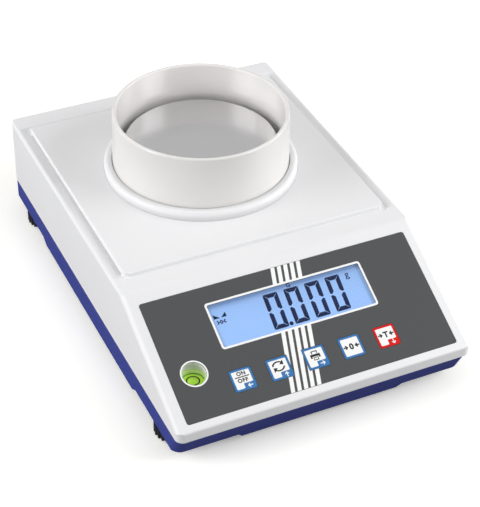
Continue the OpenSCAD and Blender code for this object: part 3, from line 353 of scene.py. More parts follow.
# %% Bare metals
def bare_metal(name, colour, shade, roughness, lines, depth):
    """Metal with tool marks: lines gives the size of one mark along x, y and z in millimetres."""
    material, tree = new_material(name)
    place = add(tree, "ShaderNodeTexCoord").outputs["Object"]
    marks = add(tree, "ShaderNodeMapping", {"Vector": place, "Scale": [1 / (v * mm) for v in lines]})
    noise = add(tree, "ShaderNodeTexNoise", {"Vector": marks.outputs[0], "Scale": 1.0, "Detail": 3.0})
    tone = add(tree, "ShaderNodeMix", {0: noise.outputs[0], 6: linear(colour), 7: linear(shade)},
               data_type="RGBA")
    gloss = add(tree, "ShaderNodeMapRange", {
        "Value": noise.outputs[0], "To Min": roughness - 0.06, "To Max": roughness + 0.06,
    })
    bump = add(tree, "ShaderNodeBump", {
        "Height": noise.outputs[0], "Strength": 0.4, "Distance": depth * mm,
    })
    shader = add(tree, "ShaderNodeBsdfPrincipled", {
        "Base Color": tone.outputs[2], "Metallic": 1.0, "Roughness": gloss.outputs[0],
        "Normal": bump.outputs[0],
    })
    add(tree, "ShaderNodeOutputMaterial", {"Surface": shader.outputs[0]})
    return material


# Satin stainless: long soft streaks along x.
satin_steel = bare_metal("stainless steel, satin belt finish", "#DEDDDE", "#D6D5D7", 0.22, (30, 0.5, 0.5),
                         0.002)
# Milled aluminium: short bright tracks across the beam.
milled_aluminium = bare_metal("aluminium, milled", "#C3C5C8", "#B4B7BB", 0.34, (6, 0.6, 0.6), 0.006)
# Zinc plate: bluish, with a fine cloudy crystal.
zinc_plate = bare_metal("steel, zinc plated", "#B9BDC2", "#A9AEB5", 0.36, (0.9, 0.9, 0.9), 0.008)
# Black oxide on cap screws: dark, slightly oily.
oiled_steel = bare_metal("steel, black oxide", "#3A3B3E", "#2E2F32", 0.42, (0.8, 0.8, 0.8), 0.008)
# Turned brass: fine rings round the axis.
turned_brass = bare_metal("brass, turned", "#CDA95C", "#BF9A4D", 0.30, (8, 8, 0.4), 0.006)
metals = (satin_steel, milled_aluminium, zinc_plate, oiled_steel, turned_brass)
print("metals:", [metal.name for metal in metals])

# %% [markdown]
# ## Foil, inks and boards
#
# The panel is covered by a polyester foil, printed in grey from behind, with a fine velvet grain on its
# face. The symbols are screen printed: ink through a mesh is a little uneven, so the colour gets a faint
# mottle. The circuit boards are woven glass under green lacquer, with the tracks showing as lighter lines
# every 2.54 mm. The ribbon cable has ribs at half that distance.

# %% Foil, inks and boards
def printed_film(name, colour, shade, roughness, mottle, shine):
    """Ink on film: mottle is the size of the uneven spots in millimetres."""
    material, tree = new_material(name)
    place = add(tree, "ShaderNodeTexCoord").outputs["Object"]
    spots = add(tree, "ShaderNodeTexNoise", {"Vector": place, "Scale": 1 / (mottle * mm), "Detail": 2.0})
    tone = add(tree, "ShaderNodeMix", {0: spots.outputs[0], 6: linear(colour), 7: linear(shade)},
               data_type="RGBA")
    bump = add(tree, "ShaderNodeBump", {"Height": spots.outputs[0], "Strength": 0.2, "Distance": 0.006 * mm})
    shader = add(tree, "ShaderNodeBsdfPrincipled", {
        "Base Color": tone.outputs[2], "Roughness": roughness, "Normal": bump.outputs[0],
        "Specular IOR Level": shine,
    })
    add(tree, "ShaderNodeOutputMaterial", {"Surface": shader.outputs[0]})
    return material


def striped(name, colour, line_colour, roughness, pitch, direction):
    """A sheet with parallel lines every pitch millimetres: tracks under lacquer, or ribs of a flat cable."""
    material, tree = new_material(name)
    place = add(tree, "ShaderNodeTexCoord").outputs["Object"]
    # A Wave texture repeats every 0.314 / Scale, so the pitch sets the scale.
    wave = add(tree, "ShaderNodeTexWave", {
        "Vector": place, "Scale": 0.314 / (pitch * mm), "Distortion": 0.4,
    }, bands_direction=direction)
    line = add(tree, "ShaderNodeMapRange", {"Value": wave.outputs[1], "From Min": 0.55, "From Max": 0.75})
    tone = add(tree, "ShaderNodeMix", {0: line.outputs[0], 6: linear(colour), 7: linear(line_colour)},
               data_type="RGBA")
    bump = add(tree, "ShaderNodeBump", {"Height": line.outputs[0], "Strength": 0.4, "Distance": 0.05 * mm})
    shader = add(tree, "ShaderNodeBsdfPrincipled", {
        "Base Color": tone.outputs[2], "Roughness": roughness, "Normal": bump.outputs[0], "IOR": 1.55,
    })
    add(tree, "ShaderNodeOutputMaterial", {"Surface": shader.outputs[0]})
    return material


# Polyester foil: flat dark grey, no mirror.
grey_foil = printed_film("polyester foil, grey velvet print", "#565759", "#535456", 0.60, 1.2, 0.1)
# Inks: the white is dense and opaque, the black almost neutral.
white_ink = printed_film("white screen ink", "#FAFAF9", "#F5F5F4", 0.50, 0.8, 0.3)
black_ink = printed_film("black screen ink", "#242528", "#2A2B2F", 0.50, 0.8, 0.2)
# Dark liquid crystal: a deep navy, with hardly any shine behind the window.
digit_ink = printed_film("liquid crystal, dark", "#00133C", "#021742", 0.45, 1.5, 0.05)
# Green lacquer over woven glass: a smooth shine with paler tracks.
green_board = striped("glass epoxy board, green lacquer", "#1F6B46", "#2C8257", 0.35, 2.54, "X")
# Ribbon cable: dull, with a rib for each wire.
ribbon_cable = striped("grey ribbon cable", "#AEB1B6", "#BFC2C6", 0.55, 1.27, "X")
print("sheets:", [sheet.name for sheet in (grey_foil, white_ink, black_ink, green_board, ribbon_cable)])

# %% [markdown]
# ## Display and clear parts
#
# A liquid crystal glass with a light behind it glows evenly, but its frame shades a strip along the edge.
# So the glass is an emitting surface whose brightness falls off in the last millimetres. A Mapping node of
# the TEXTURE kind moves the object's coordinates into the slope of the panel, so that x and y run along the
# edges. The window is clear acrylic. Light passes acrylic almost unchanged, so shadow rays see it as
# transparent. The level is a pale cup with a clear lid, and its liquid has a bright green dye so that the
# bubble's edge shows. The liquid and the cup's rim shine with a painted glow: a fixed emission that stands
# for the dye's fluorescence and brightens them in their shaded pocket.

# %% Display and clear parts
panel_angle = math.radians(24.9)
ridge = Vector((0, -51.5, 59.6)) * mm
down_slope = Vector((0, -math.cos(panel_angle), -math.sin(panel_angle)))
outward = Vector((0, -math.sin(panel_angle), math.cos(panel_angle)))


def panel_point(x, s, h):
    """A point of the panel: x across, s down the slope from the ridge, h out of the foil, in millimetres."""
    return ridge + Vector((x, 0, 0)) * mm + down_slope * (s * mm) + outward * (h * mm)


glass_depth = -2.0
display_x = 0.5
display_s = 29.3
display_w = 85.2
display_h = 24.0

lit_glass, tree = new_material("liquid crystal glass, lit blue")
place = add(tree, "ShaderNodeTexCoord").outputs["Object"]
in_slope = add(tree, "ShaderNodeMapping", {
    "Vector": place, "Location": panel_point(display_x, display_s, glass_depth),
    "Rotation": (panel_angle, 0, 0),
}, vector_type="TEXTURE")
side = add(tree, "ShaderNodeSeparateXYZ", {0: in_slope.outputs[0]})
across = add(tree, "ShaderNodeMath", {0: side.outputs["X"]}, operation="ABSOLUTE")
# Ends, top and foot of the glass: where the frame's shade starts and stops, and how dim the glass gets.
shades = []
for value, start, stop, dim in (
    (across.outputs[0], display_w / 2 - 2.6, display_w / 2, 0.62),
    (side.outputs["Y"], display_h / 2 - 3.6, display_h / 2, 0.42),
    (side.outputs["Y"], 1.2 - display_h / 2, -display_h / 2, 0.85),
):
    shade = add(tree, "ShaderNodeMapRange", {
        "Value": value, "From Min": start * mm, "From Max": stop * mm, "To Min": 1.0, "To Max": dim,
    }, interpolation_type="SMOOTHSTEP")
    shades.append(shade.outputs[0])
edge = add(tree, "ShaderNodeMath", {0: shades[0], 1: shades[1]}, operation="MULTIPLY")
edge = add(tree, "ShaderNodeMath", {0: edge.outputs[0], 1: shades[2]}, operation="MULTIPLY")
light = add(tree, "ShaderNodeMix", {0: edge.outputs[0], 6: linear("#000000"), 7: linear("#A2C8F4")},
            data_type="RGBA")
shader = add(tree, "ShaderNodeBsdfPrincipled", {
    "Base Color": linear("#1E3A70"), "Roughness": 0.4, "Specular IOR Level": 0.1,
    "Emission Color": light.outputs[2], "Emission Strength": 0.92,
})
add(tree, "ShaderNodeOutputMaterial", {"Surface": shader.outputs[0]})


def clear_shader(tree, colour, ior, shine):
    """A clear body that lets the lamps' light through to what is behind it."""
    place = add(tree, "ShaderNodeTexCoord").outputs["Object"]
    haze = add(tree, "ShaderNodeTexNoise", {"Vector": place, "Scale": 1 / (3 * mm)})
    gloss = add(tree, "ShaderNodeMapRange", {"Value": haze.outputs[0], "To Min": 0.01, "To Max": 0.03})
    body = add(tree, "ShaderNodeBsdfPrincipled", {
        "Base Color": linear(colour), "Roughness": gloss.outputs[0], "IOR": ior, "Transmission Weight": 1.0,
        "Specular IOR Level": shine,
    })
    through = add(tree, "ShaderNodeBsdfTransparent", {"Color": linear(colour)})
    ray = add(tree, "ShaderNodeLightPath")
    return add(tree, "ShaderNodeMixShader", {
        0: ray.outputs["Is Shadow Ray"], 1: body.outputs[0], 2: through.outputs[0],
    })


# Window with a coat against reflections.
clear_acrylic, tree = new_material("clear acrylic, coated")
add(tree, "ShaderNodeOutputMaterial", {"Surface": clear_shader(tree, "#FBFCFD", 1.49, 0.1).outputs[0]})


def fluorescent_painted_glow(name, colour, shade, glow):
    """A body with a dye that turns blue light into green, shown as a painted glow: a fixed emission of its
    colour.
    """
    material, tree = new_material(name)
    place = add(tree, "ShaderNodeTexCoord").outputs["Object"]
    drift = add(tree, "ShaderNodeTexNoise", {"Vector": place, "Scale": 1 / (4 * mm), "Detail": 1.0})
    dye = add(tree, "ShaderNodeMix", {0: drift.outputs[0], 6: linear(colour), 7: linear(shade)},
              data_type="RGBA")
    shader = add(tree, "ShaderNodeBsdfPrincipled", {
        "Base Color": dye.outputs[2], "Roughness": 0.15, "IOR": 1.36,
        "Emission Color": dye.outputs[2], "Emission Strength": glow,
    })
    add(tree, "ShaderNodeOutputMaterial", {"Surface": shader.outputs[0]})
    return material


# Dyed spirit, and the acrylic rim that carries the dye's light upwards; both shine with a painted glow.
green_liquid = fluorescent_painted_glow("level liquid, fluorescent green dye", "#B2E044", "#A6D838", 0.42)
green_rim = fluorescent_painted_glow("level rim, acrylic lit by the dye", "#BFDF8C", "#B8D884", 0.20)

# The vial is a pale cup with a clear lid: the height of a point decides which of the two it is. The lid is
# taken a hair thicker than its millimetre, so that its lower face is clear too.
vial_low, vial_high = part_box("level_vial")
lid = 1.02
cup_and_lid, tree = new_material("level vial, pale cup and clear lid")
place = add(tree, "ShaderNodeTexCoord").outputs["Object"]
height = add(tree, "ShaderNodeSeparateXYZ", {0: place}).outputs["Z"]
is_lid = add(tree, "ShaderNodeMath", {0: height, 1: vial_high.z - lid * mm},
             operation="GREATER_THAN")
cup = add(tree, "ShaderNodeBsdfPrincipled", {"Base Color": linear("#C9DFA6"), "Roughness": 0.5})
both = add(tree, "ShaderNodeMixShader", {
    0: is_lid.outputs[0], 1: cup.outputs[0], 2: clear_shader(tree, "#FDFEFC", 1.49, 0.3).outputs[0],
})
add(tree, "ShaderNodeOutputMaterial", {"Surface": both.outputs[0]})
print("display and level:", [m.name for m in (lit_glass, clear_acrylic, green_liquid, cup_and_lid)])

# %% [markdown]
# ## Dressing the CAD solids
#
# Every CAD solid already has a material slot from the record, such as the tray's blue or the pan's steel.
# The finishes above are matched to those names once, and each solid takes its own, so no solid keeps the
# flat colour that it was packed with. Nothing is moved, and no mesh is changed.

# %% Dress the CAD solids
finish_of = {
    "tray_blue": blue_abs,
    "housing_white": white_abs,
    "foil_grey": grey_foil,
    "window_clear": clear_acrylic,
    "lcd_blue": lit_glass,
    "backlight_white": opal_plate,
    "board_green": green_board,
    "part_black": black_epoxy,
    "zinc_steel": zinc_plate,
    "bolt_steel": oiled_steel,
    "aluminium_plain": milled_aluminium,
    "liquid_green": green_liquid,
    "lead_grey": grey_pvc,
    "ribbon_grey": ribbon_cable,
    "brass_plain": turned_brass,
    "pan_steel": satin_steel,
    "key_blue": blue_key,
    "key_red": red_key,
    "foot_rubber": pad_rubber,
    "wheel_black": black_nylon,
}
own_finish = {"draft_shield": white_gloss, "level_vial": cup_and_lid}
for part in frame["record"]["subparts"]:
    name = part["node"]
    for slot in nodes[name].material_slots:
        slot.material = own_finish.get(name, finish_of[part["material_slot"]])

# %% [markdown]
# ## Flat prints
#
# A print is a film of ink, so each symbol is a filled outline with the thickness of a heavy print. Outlines
# are drawn in millimetres as 2D curves, where a loop inside another is a hole, and turned into a mesh. Only
# then does a matrix put them on the slope. Drawing at this size first keeps the filling exact, and a mesh
# with its place in its points is what the exporter wants. Letters come from Blender's own font and are
# scaled to the height they need.

# %% Helpers for flat prints
ink_film = 0.03


def plain_mesh(drawing):
    """Turns a curve or a text into a mesh and removes the drawing."""
    holder = bpy.data.objects.new(drawing.name, drawing)
    scene.collection.objects.link(holder)
    graph = bpy.context.evaluated_depsgraph_get()
    mesh = bpy.data.meshes.new_from_object(holder.evaluated_get(graph))
    bpy.data.objects.remove(holder)
    bpy.data.curves.remove(drawing)
    return mesh


def filled(loops):
    """Fills closed outlines in millimetres; an outline inside another one is a hole."""
    drawing = bpy.data.curves.new("outline", "CURVE")
    drawing.dimensions = "2D"
    drawing.fill_mode = "BOTH"
    drawing.extrude = ink_film / 2
    for loop in loops:
        line = drawing.splines.new("POLY")
        line.points.add(len(loop) - 1)
        for point, (x, y) in zip(line.points, loop):
            point.co = (x, y, 0, 1)
        line.use_cyclic_u = True
    return plain_mesh(drawing)


def lettered(word, height, weight):
    """A word of that height in millimetres round its middle; weight makes its strokes bolder."""
    drawing = bpy.data.curves.new("lettering", "FONT")
    drawing.body = word
    drawing.size = 10
    drawing.offset = weight
    drawing.space_character = 1.15
    drawing.extrude = 1
    mesh = plain_mesh(drawing)
    low = [min(v.co[i] for v in mesh.vertices) for i in range(3)]
    high = [max(v.co[i] for v in mesh.vertices) for i in range(3)]
    middle = [(a + b) / 2 for a, b in zip(low, high)]
    scale = height / (high[1] - low[1])
    centred = Matrix.Translation([-v for v in middle])
    mesh.transform(Matrix.Diagonal((scale, scale, ink_film / 2, 1)) @ centred)
    return mesh


def joined(parts):
    """Joins flat meshes, each moved to its own place (x, y) on the face."""
    work = bmesh.new()
    for mesh, x, y in parts:
        mesh.transform(Matrix.Translation((x, y, 0)))
        work.from_mesh(mesh)
        bpy.data.meshes.remove(mesh)
    together = bpy.data.meshes.new("print")
    work.to_mesh(together)
    work.free()
    return together


def on_panel(x, s, h):
    """The matrix that lays a drawing in millimetres on the panel, with its y up the slope."""
    turned = Matrix.Rotation(panel_angle, 4, "X")
    return Matrix.Translation(panel_point(x, s, h)) @ turned @ Matrix.Scale(mm, 4)


def piece(name, mesh, material, body):
    """Makes an object of a mesh that is in its place, and lets it ride on a body."""
    mesh.materials.clear()
    mesh.materials.append(material)
    made = bpy.data.objects.new(name, mesh)
    scene.collection.objects.link(made)
    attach(made, body)
    print(name, "faces:", len(mesh.polygons))
    return made


print("ink film:", ink_film, "mm thick")

# %% [markdown]
# ## White prints on the foil
#
# A white line frames the display, and a white ring marks the level. Rounded corners are short curves
# between two points near each corner, bent towards it. That is simple and holds for inner corners too.

# %% Frame of the display and ring of the level
def rounded(corners, radius):
    """Replaces each corner of an outline by a short curve that starts a radius away from it."""
    outline = []
    for i, corner in enumerate(corners):
        here = Vector(corner)
        before = (Vector(corners[i - 1]) - here).normalized() * radius
        after = (Vector(corners[(i + 1) % len(corners)]) - here).normalized() * radius
        for step in range(7):
            t = step / 6
            point = here + before * (1 - t) ** 2 + after * t ** 2
            outline.append((point.x, point.y))
    return outline


def box_outline(w, h, radius):
    """A rectangle with rounded corners round the origin."""
    return rounded([(-w / 2, -h / 2), (w / 2, -h / 2), (w / 2, h / 2), (-w / 2, h / 2)], radius)


def circle_outline(radius):
    """A circle round the origin."""
    turns = [2 * math.pi * i / 64 for i in range(64)]
    return [(radius * math.cos(a), radius * math.sin(a)) for a in turns]


border = 1.1
print_height = ink_film / 2
frame_line = filled([box_outline(display_w + 2 * border, display_h + 2 * border, 1.8),
                     box_outline(display_w, display_h, 0.9)])
frame_line.transform(on_panel(display_x, display_s, print_height))
piece("print_display_frame", frame_line, white_ink, "base")

level_x = -61.6
level_s = 50.0
level_out = 7.05
level_in = 6.25
level_ring = filled([circle_outline(level_out), circle_outline(level_in)])
level_ring.transform(on_panel(level_x, level_s, print_height))
piece("print_level_ring", level_ring, white_ink, "base")

# %% [markdown]
# ## Stripes
#
# Five plain slanting stripes run down the foil, past the display and two of the keys. They repeat, so a
# geometry tree makes them: a row of points, a thin bar on each, a lean that grows with y, and a cut where
# the display and the keys are. Each size is a named input of the tree. The bars are made real at the end,
# because an exporter drops instances.

# %% Helpers for geometry trees
def new_tree(name, inputs):
    """Starts a geometry tree with these named inputs and one output."""
    tree = bpy.data.node_groups.new(name, "GeometryNodeTree")
    for label, kind in inputs.items():
        tree.interface.new_socket(label, in_out="INPUT", socket_type="NodeSocket" + kind)
    tree.interface.new_socket("Geometry", in_out="OUTPUT", socket_type="NodeSocketGeometry")
    return tree, add(tree, "NodeGroupInput").outputs


def end_tree(tree, geometry, material):
    """Makes instances real, gives them a material and ends the tree."""
    real = add(tree, "GeometryNodeRealizeInstances", {"Geometry": geometry})
    done = add(tree, "GeometryNodeSetMaterial", {"Geometry": real.outputs[0], "Material": material})
    add(tree, "NodeGroupOutput", {"Geometry": done.outputs[0]})


def by_nodes(tree, values):
    """Runs a tree with these input values and returns the result as a plain mesh."""
    holder = bpy.data.objects.new(tree.name, bpy.data.meshes.new(tree.name))
    scene.collection.objects.link(holder)
    modifier = holder.modifiers.new(tree.name, "NODES")
    modifier.node_group = tree
    for item in tree.interface.items_tree:
        if item.in_out == "INPUT":
            modifier[item.identifier] = values[item.name]
    graph = bpy.context.evaluated_depsgraph_get()
    mesh = bpy.data.meshes.new_from_object(holder.evaluated_get(graph))
    holder.modifiers.clear()
    bpy.data.objects.remove(holder)
    return mesh


def helper_object(name, mesh):
    """An object that a tree reads and that is removed afterwards."""
    made = bpy.data.objects.new(name, mesh)
    scene.collection.objects.link(made)
    return made


print("geometry trees so far:", len(bpy.data.node_groups))

# %% Stripes on the foil
tree, given = new_tree("stripe band", {
    "Count": "Int", "Width": "Float", "Gap": "Float", "Length": "Float", "Lean": "Float",
    "Thickness": "Float", "Cut outs": "Object", "Ink": "Material",
})
pitch = add(tree, "ShaderNodeMath", {0: given["Width"], 1: given["Gap"]}, operation="ADD")
step = add(tree, "ShaderNodeCombineXYZ", {"X": pitch.outputs[0]})
row = add(tree, "GeometryNodeMeshLine", {"Count": given["Count"], "Offset": step.outputs[0]})
size = add(tree, "ShaderNodeCombineXYZ", {
    "X": given["Width"], "Y": given["Length"], "Z": given["Thickness"],
})
bar = add(tree, "GeometryNodeMeshCube", {"Size": size.outputs[0]})
bars = add(tree, "GeometryNodeInstanceOnPoints", {"Points": row.outputs[0], "Instance": bar.outputs[0]})
solid = add(tree, "GeometryNodeRealizeInstances", {"Geometry": bars.outputs[0]})
where = add(tree, "ShaderNodeSeparateXYZ", {0: add(tree, "GeometryNodeInputPosition").outputs[0]})
lean = add(tree, "ShaderNodeMath", {0: where.outputs["Y"], 1: given["Lean"]}, operation="MULTIPLY")
shift = add(tree, "ShaderNodeCombineXYZ", {"X": lean.outputs[0]})
leaning = add(tree, "GeometryNodeSetPosition", {"Geometry": solid.outputs[0], "Offset": shift.outputs[0]})
cutter = add(tree, "GeometryNodeObjectInfo", {"Object": given["Cut outs"]})
cut = add(tree, "GeometryNodeMeshBoolean", {
    "Mesh 1": leaning.outputs[0], "Mesh 2": cutter.outputs["Geometry"],
}, operation="DIFFERENCE")
end_tree(tree, cut.outputs[0], given["Ink"])

foil_top = 7.1
foil_foot = 74.2
band_s = (foil_top + foil_foot) / 2
# The band's left edge passes through one known point of the foil.
band_lean = 0.2538
known_x = -11.5
known_s = 42.8
band_left = known_x + band_lean * (known_s - band_s)
stripe_w = 2.2
stripe_gap = 1.4
key_x = 0.3
key_s = 60.0
key_pitch = 19.97
key_opening = 12.0
overlap = 0.02
end_gap = 0.1

cut_outs = bmesh.new()
for x, s, w, h in (
    (display_x, display_s, display_w + 2 * border - overlap, display_h + 2 * border - overlap),
    (key_x - key_pitch, key_s, key_opening, key_opening),
    (key_x, key_s, key_opening, key_opening),
):
    spot = Matrix.Translation((x - band_left - stripe_w / 2, band_s - s, 0)) @ Matrix.Diagonal((w, h, 2, 1))
    bmesh.ops.create_cube(cut_outs, size=1, matrix=spot)
cut_mesh = bpy.data.meshes.new("cut outs")
cut_outs.to_mesh(cut_mesh)
cut_outs.free()
cut_object = helper_object("cut_outs", cut_mesh)
stripes = by_nodes(tree, {
    "Count": 5, "Width": stripe_w, "Gap": stripe_gap, "Length": foil_foot - foil_top - end_gap,
    "Lean": band_lean, "Thickness": ink_film, "Cut outs": cut_object, "Ink": white_ink,
})
bpy.data.objects.remove(cut_object)
stripes.transform(on_panel(band_left + stripe_w / 2, band_s, print_height))
piece("print_stripes", stripes, white_ink, "base")

# %% [markdown]
# ## Key faces
#
# Each key is one coloured moulding with a white field printed on it, so its edge shows as a border. On four
# keys the field leaves out a corner, where a small arrow stands on the key's own colour. The signs are the
# usual ones on bench gear: on and off, cycle, print, zero and tare. An arrow with an open head is one
# outline: walking round its shaft and both strokes of the head keeps the filling free of overlaps.

# %% Outlines of the key signs
def arrow_outline(tail, tip, head, stroke, turn):
    """An arrow with an open head, drawn along x and then turned by that many degrees."""
    half = stroke / 2
    k = stroke / (2 * math.sqrt(2))
    lower = [(-tail, -half), (tip - 2 * k - half, -half), (tip - head - k, k - head),
             (tip - head + k, -head - k)]
    upper = [(x, -y) for x, y in reversed(lower)]
    a = math.radians(turn)
    return [
        (x * math.cos(a) - y * math.sin(a), x * math.sin(a) + y * math.cos(a))
        for x, y in lower + [(tip + 2 * k, 0)] + upper
    ]


def cycle_outline(radius, wide, stroke, start):
    """One bent arrow of the cycle sign, clockwise from that angle in degrees, stretched sideways."""
    def at(r, angle):
        a = math.radians(angle)
        return (wide * r * math.cos(a), r * math.sin(a))

    sweep = [start - 118 * i / 16 for i in range(17)]
    outer = [at(radius + stroke / 2, a) for a in sweep]
    inner = [at(radius - stroke / 2, a) for a in reversed(sweep)]
    tip = at(radius, sweep[-1] - 40)
    head = [at(radius + 2 * stroke, sweep[-1]), tip, at(radius - 2 * stroke, sweep[-1])]
    return outer + head + inner


def printer_sign(size):
    """A printer as a pictogram: paper above, a body with a slot, and a printed sheet below."""
    paper = [(-1.9, 1.35), (-1.9, 3.1), (1.9, 3.1), (1.9, 1.35), (1.35, 1.35), (1.35, 2.55), (-1.35, 2.55),
             (-1.35, 1.35)]
    body = [(-3.1, 1.0), (3.1, 1.0), (3.1, -1.4), (2.05, -1.4), (2.05, -0.5), (-2.05, -0.5), (-2.05, -1.4),
            (-3.1, -1.4)]
    sheet = [(-1.6, -0.9), (1.6, -0.9), (1.6, -2.9), (-1.6, -2.9)]
    field = [(-1.1, -1.35), (1.1, -1.35), (1.1, -2.4), (-1.1, -2.4)]
    return [[(x * size, y * size) for x, y in loop] for loop in (paper, body, sheet, field)]


print("arrow points:", len(arrow_outline(1.2, 0.9, 0.9, 0.5, 0)))

# %% Key faces
field_half = 4.7
field_corner = 0.6
tab_left = -0.4
tab_top = -2.1
tab_middle = (2.5, -3.75)
sign_height = print_height + 0.8 * ink_film
whole_field = [(-field_half, -field_half), (field_half, -field_half), (field_half, field_half),
               (-field_half, field_half)]
cut_field = [(-field_half, -field_half), (tab_left, -field_half), (tab_left, tab_top), (field_half, tab_top),
             (field_half, field_half), (-field_half, field_half)]
side_arrow = (1.55, 0.9, 1.0, 0.5)
sign_arrow = (1.35, 0.8, 1.0, 0.68)
bent_arrow = (2.4, 1.22, 0.7)

key_signs = {
    "key_on": ([(lettered("ON", 2.2, 0.4), 0.1, 3.25), (filled([box_outline(7.6, 0.52, 0.1)]), 0.1, 1.45),
                (lettered("OFF", 2.2, 0.4), -0.1, -0.4)], 180),
    "key_cycle": ([(filled([cycle_outline(*bent_arrow, a) for a in (168, -12)]), -0.2, 1.15)], 90),
    "key_print": ([(filled(printer_sign(0.85)), 0.0, 0.95)], 0),
    "key_zero": ([(filled([arrow_outline(*sign_arrow, 0)]), -3.1, 0.1), (lettered("0", 3.4, 0.45), 0, 0.1),
                  (filled([arrow_outline(*sign_arrow, 180)]), 3.1, 0.1)], None),
    "key_tare": ([(filled([arrow_outline(*sign_arrow, 0)]), -3.1, 0.9), (lettered("T", 3.3, 0.45), 0, 0.9),
                  (filled([arrow_outline(*sign_arrow, 180)]), 3.1, 0.9)], 270),
}
for i, (body, (sign, direction)) in enumerate(key_signs.items()):
    x = key_x + (i - 2) * key_pitch
    slot = "key_red" if body == "key_tare" else "key_blue"
    parts = [(filled([rounded(whole_field if direction is None else cut_field, field_corner)]), 0, 0)]
    if direction is not None:
        parts.append((filled([arrow_outline(*side_arrow, direction)]), *tab_middle))
    field = joined(parts)
    field.transform(on_panel(x, key_s, print_height))
    piece("print_field_" + body, field, white_ink, body)
    mark = joined(sign)
    mark.transform(on_panel(x, key_s, sign_height))
    piece("print_sign_" + body, mark, black_ink, body)

# %% [markdown]
# ## Digits
#
# The display shows a resting balance: 0.000 and the unit for grams. A digit zero is six segments with
# mitred ends and thin gaps, leaning to the right. The four digits are the same shape at an even pitch, so
# the outline is drawn once and a small tree sets it out in a row. The marks for a settled reading and for
# zero, at the left of the glass, are filled outlines like the prints above.

# %% Digits of the display
digit_w = 8.1
digit_h = 19.9
stroke = 2.35
gap = 0.22
top_shift = 1.1
digit_lean = top_shift / digit_h
digit_pitch = 11.68
first_digit_x = -8.55
digit_s = 29.65


def zero_outlines():
    """Six segments of a zero round the origin; the middle bar is off."""
    w = digit_w / 2
    h = digit_h / 2
    top = [(-w + gap + 0.35, h), (w - gap - 0.35, h), (w - gap, h - 0.3), (w - stroke - gap, h - stroke),
           (-w + stroke + gap, h - stroke), (-w + gap, h - 0.3)]
    upper = [(-w, h - gap - 0.35), (-w + 0.25, h - gap - 0.1), (-w + stroke, h - stroke - gap),
             (-w + stroke, stroke / 2 + gap + 0.1), (-w + stroke * 0.45, gap + 0.05), (-w, gap + 0.5)]
    quarter = [top, upper, [(-x, y) for x, y in upper]]
    both = quarter + [[(x, -y) for x, y in loop] for loop in quarter]
    return [[(x + y * digit_lean, y) for x, y in loop] for loop in both]


tree, given = new_tree("row of digits", {
    "Digit": "Object", "Count": "Int", "Pitch": "Float", "Ink": "Material",
})
step = add(tree, "ShaderNodeCombineXYZ", {"X": given["Pitch"]})
row = add(tree, "GeometryNodeMeshLine", {"Count": given["Count"], "Offset": step.outputs[0]})
digit = add(tree, "GeometryNodeObjectInfo", {"Object": given["Digit"]})
digits = add(tree, "GeometryNodeInstanceOnPoints",
             {"Points": row.outputs[0], "Instance": digit.outputs["Geometry"]})
end_tree(tree, digits.outputs[0], given["Ink"])

zero_object = helper_object("zero_digit", filled(zero_outlines()))
reading = by_nodes(tree, {"Digit": zero_object, "Count": 4, "Pitch": digit_pitch, "Ink": digit_ink})
bpy.data.objects.remove(zero_object)
reading.transform(on_panel(first_digit_x, digit_s, glass_depth + ink_film))
piece("display_digits", reading, digit_ink, "base")

# %% Marks of the display
mark_s = 27.0
marks = joined([
    (filled([circle_outline(1.1)]), -3.55, mark_s - 38.5),
    (lettered("g", 3.7, 0.1), 35.3, mark_s - 22.2),
    (lettered("G", 2.4, 0.3), 3.2, mark_s - 18.0),
    (filled([[(-1.8, 1.4), (-1.8, -1.1), (1.5, -1.1)]]), -38.9, mark_s - 24.0),
    (filled([[(1.7, 1.4), (1.7, -1.1), (-1.3, -1.1)]]), -35.5, mark_s - 23.9),
    (filled([arrow_outline(-0.1, 0.6, 0.9, 0.75, 0)]), -39.5, mark_s - 27.3),
    (lettered("0", 2.3, 0.5), -37.5, mark_s - 27.3),
    (filled([arrow_outline(-0.1, 0.6, 0.9, 0.75, 180)]), -35.5, mark_s - 27.3),
])
marks.transform(on_panel(0, mark_s, glass_depth + ink_film))
piece("display_marks", marks, digit_ink, "base")

# %% [markdown]
# ## Level
#
# The round level has a dark ring on its lid. The bubble must stay inside it. The vial stands upright while
# the panel slopes, so the ring isn't laid on the slope: it sits flat on the vial's top face, whose place is
# read from the CAD solid. The cup's rim stands a little above the lid. It is four circles of points, and
# its upper edge dips in front, where the sloping housing leaves less room.

# %% Ring and rim of the level's vial
vial_middle = (vial_low + vial_high) / 2
mark_out = 3.5
mark_in = 2.85
ring = filled([circle_outline(mark_out), circle_outline(mark_in)])
ring.transform(Matrix.Translation((vial_middle.x, vial_middle.y, vial_high.z)) @ Matrix.Scale(mm, 4))
piece("level_mark", ring, black_ink, "base")

rim_in = 5.7 * mm
rim_out = 6.6 * mm
rim_height = 2.0 * mm
housing_inside = -2.6 * mm
steps = 48
corners = []
for i in range(steps):
    x = math.cos(2 * math.pi * i / steps)
    y = math.sin(2 * math.pi * i / steps)
    from_ridge = vial_middle.y + rim_out * y - ridge.y
    roof = ridge.z + (housing_inside - outward.y * from_ridge) / outward.z
    top = min(vial_high.z + rim_height, roof)
    for radius, z in ((rim_in, vial_high.z), (rim_out, vial_high.z), (rim_out, top), (rim_in, top)):
        corners.append((vial_middle.x + radius * x, vial_middle.y + radius * y, z))
faces = []
for i in range(steps):
    after = (i + 1) % steps
    for k in range(4):
        beside = (k + 1) % 4
        faces.append((4 * i + k, 4 * after + k, 4 * after + beside, 4 * i + beside))
rim = bpy.data.meshes.new("rim")
rim.from_pydata(corners, [], faces)
piece("level_rim", rim, green_rim, "base")

# %% [markdown]
# ## Screws under the tray
#
# Four screws hold the housing on the tray. In the CAD they are plain cylinders. Seen from below a screw
# needs its cross recess, so a tree makes one screw with a tapered head, cuts two crossing slots into it,
# and sets it on four points. The points are a small mesh, so the screws are where the CAD has them.

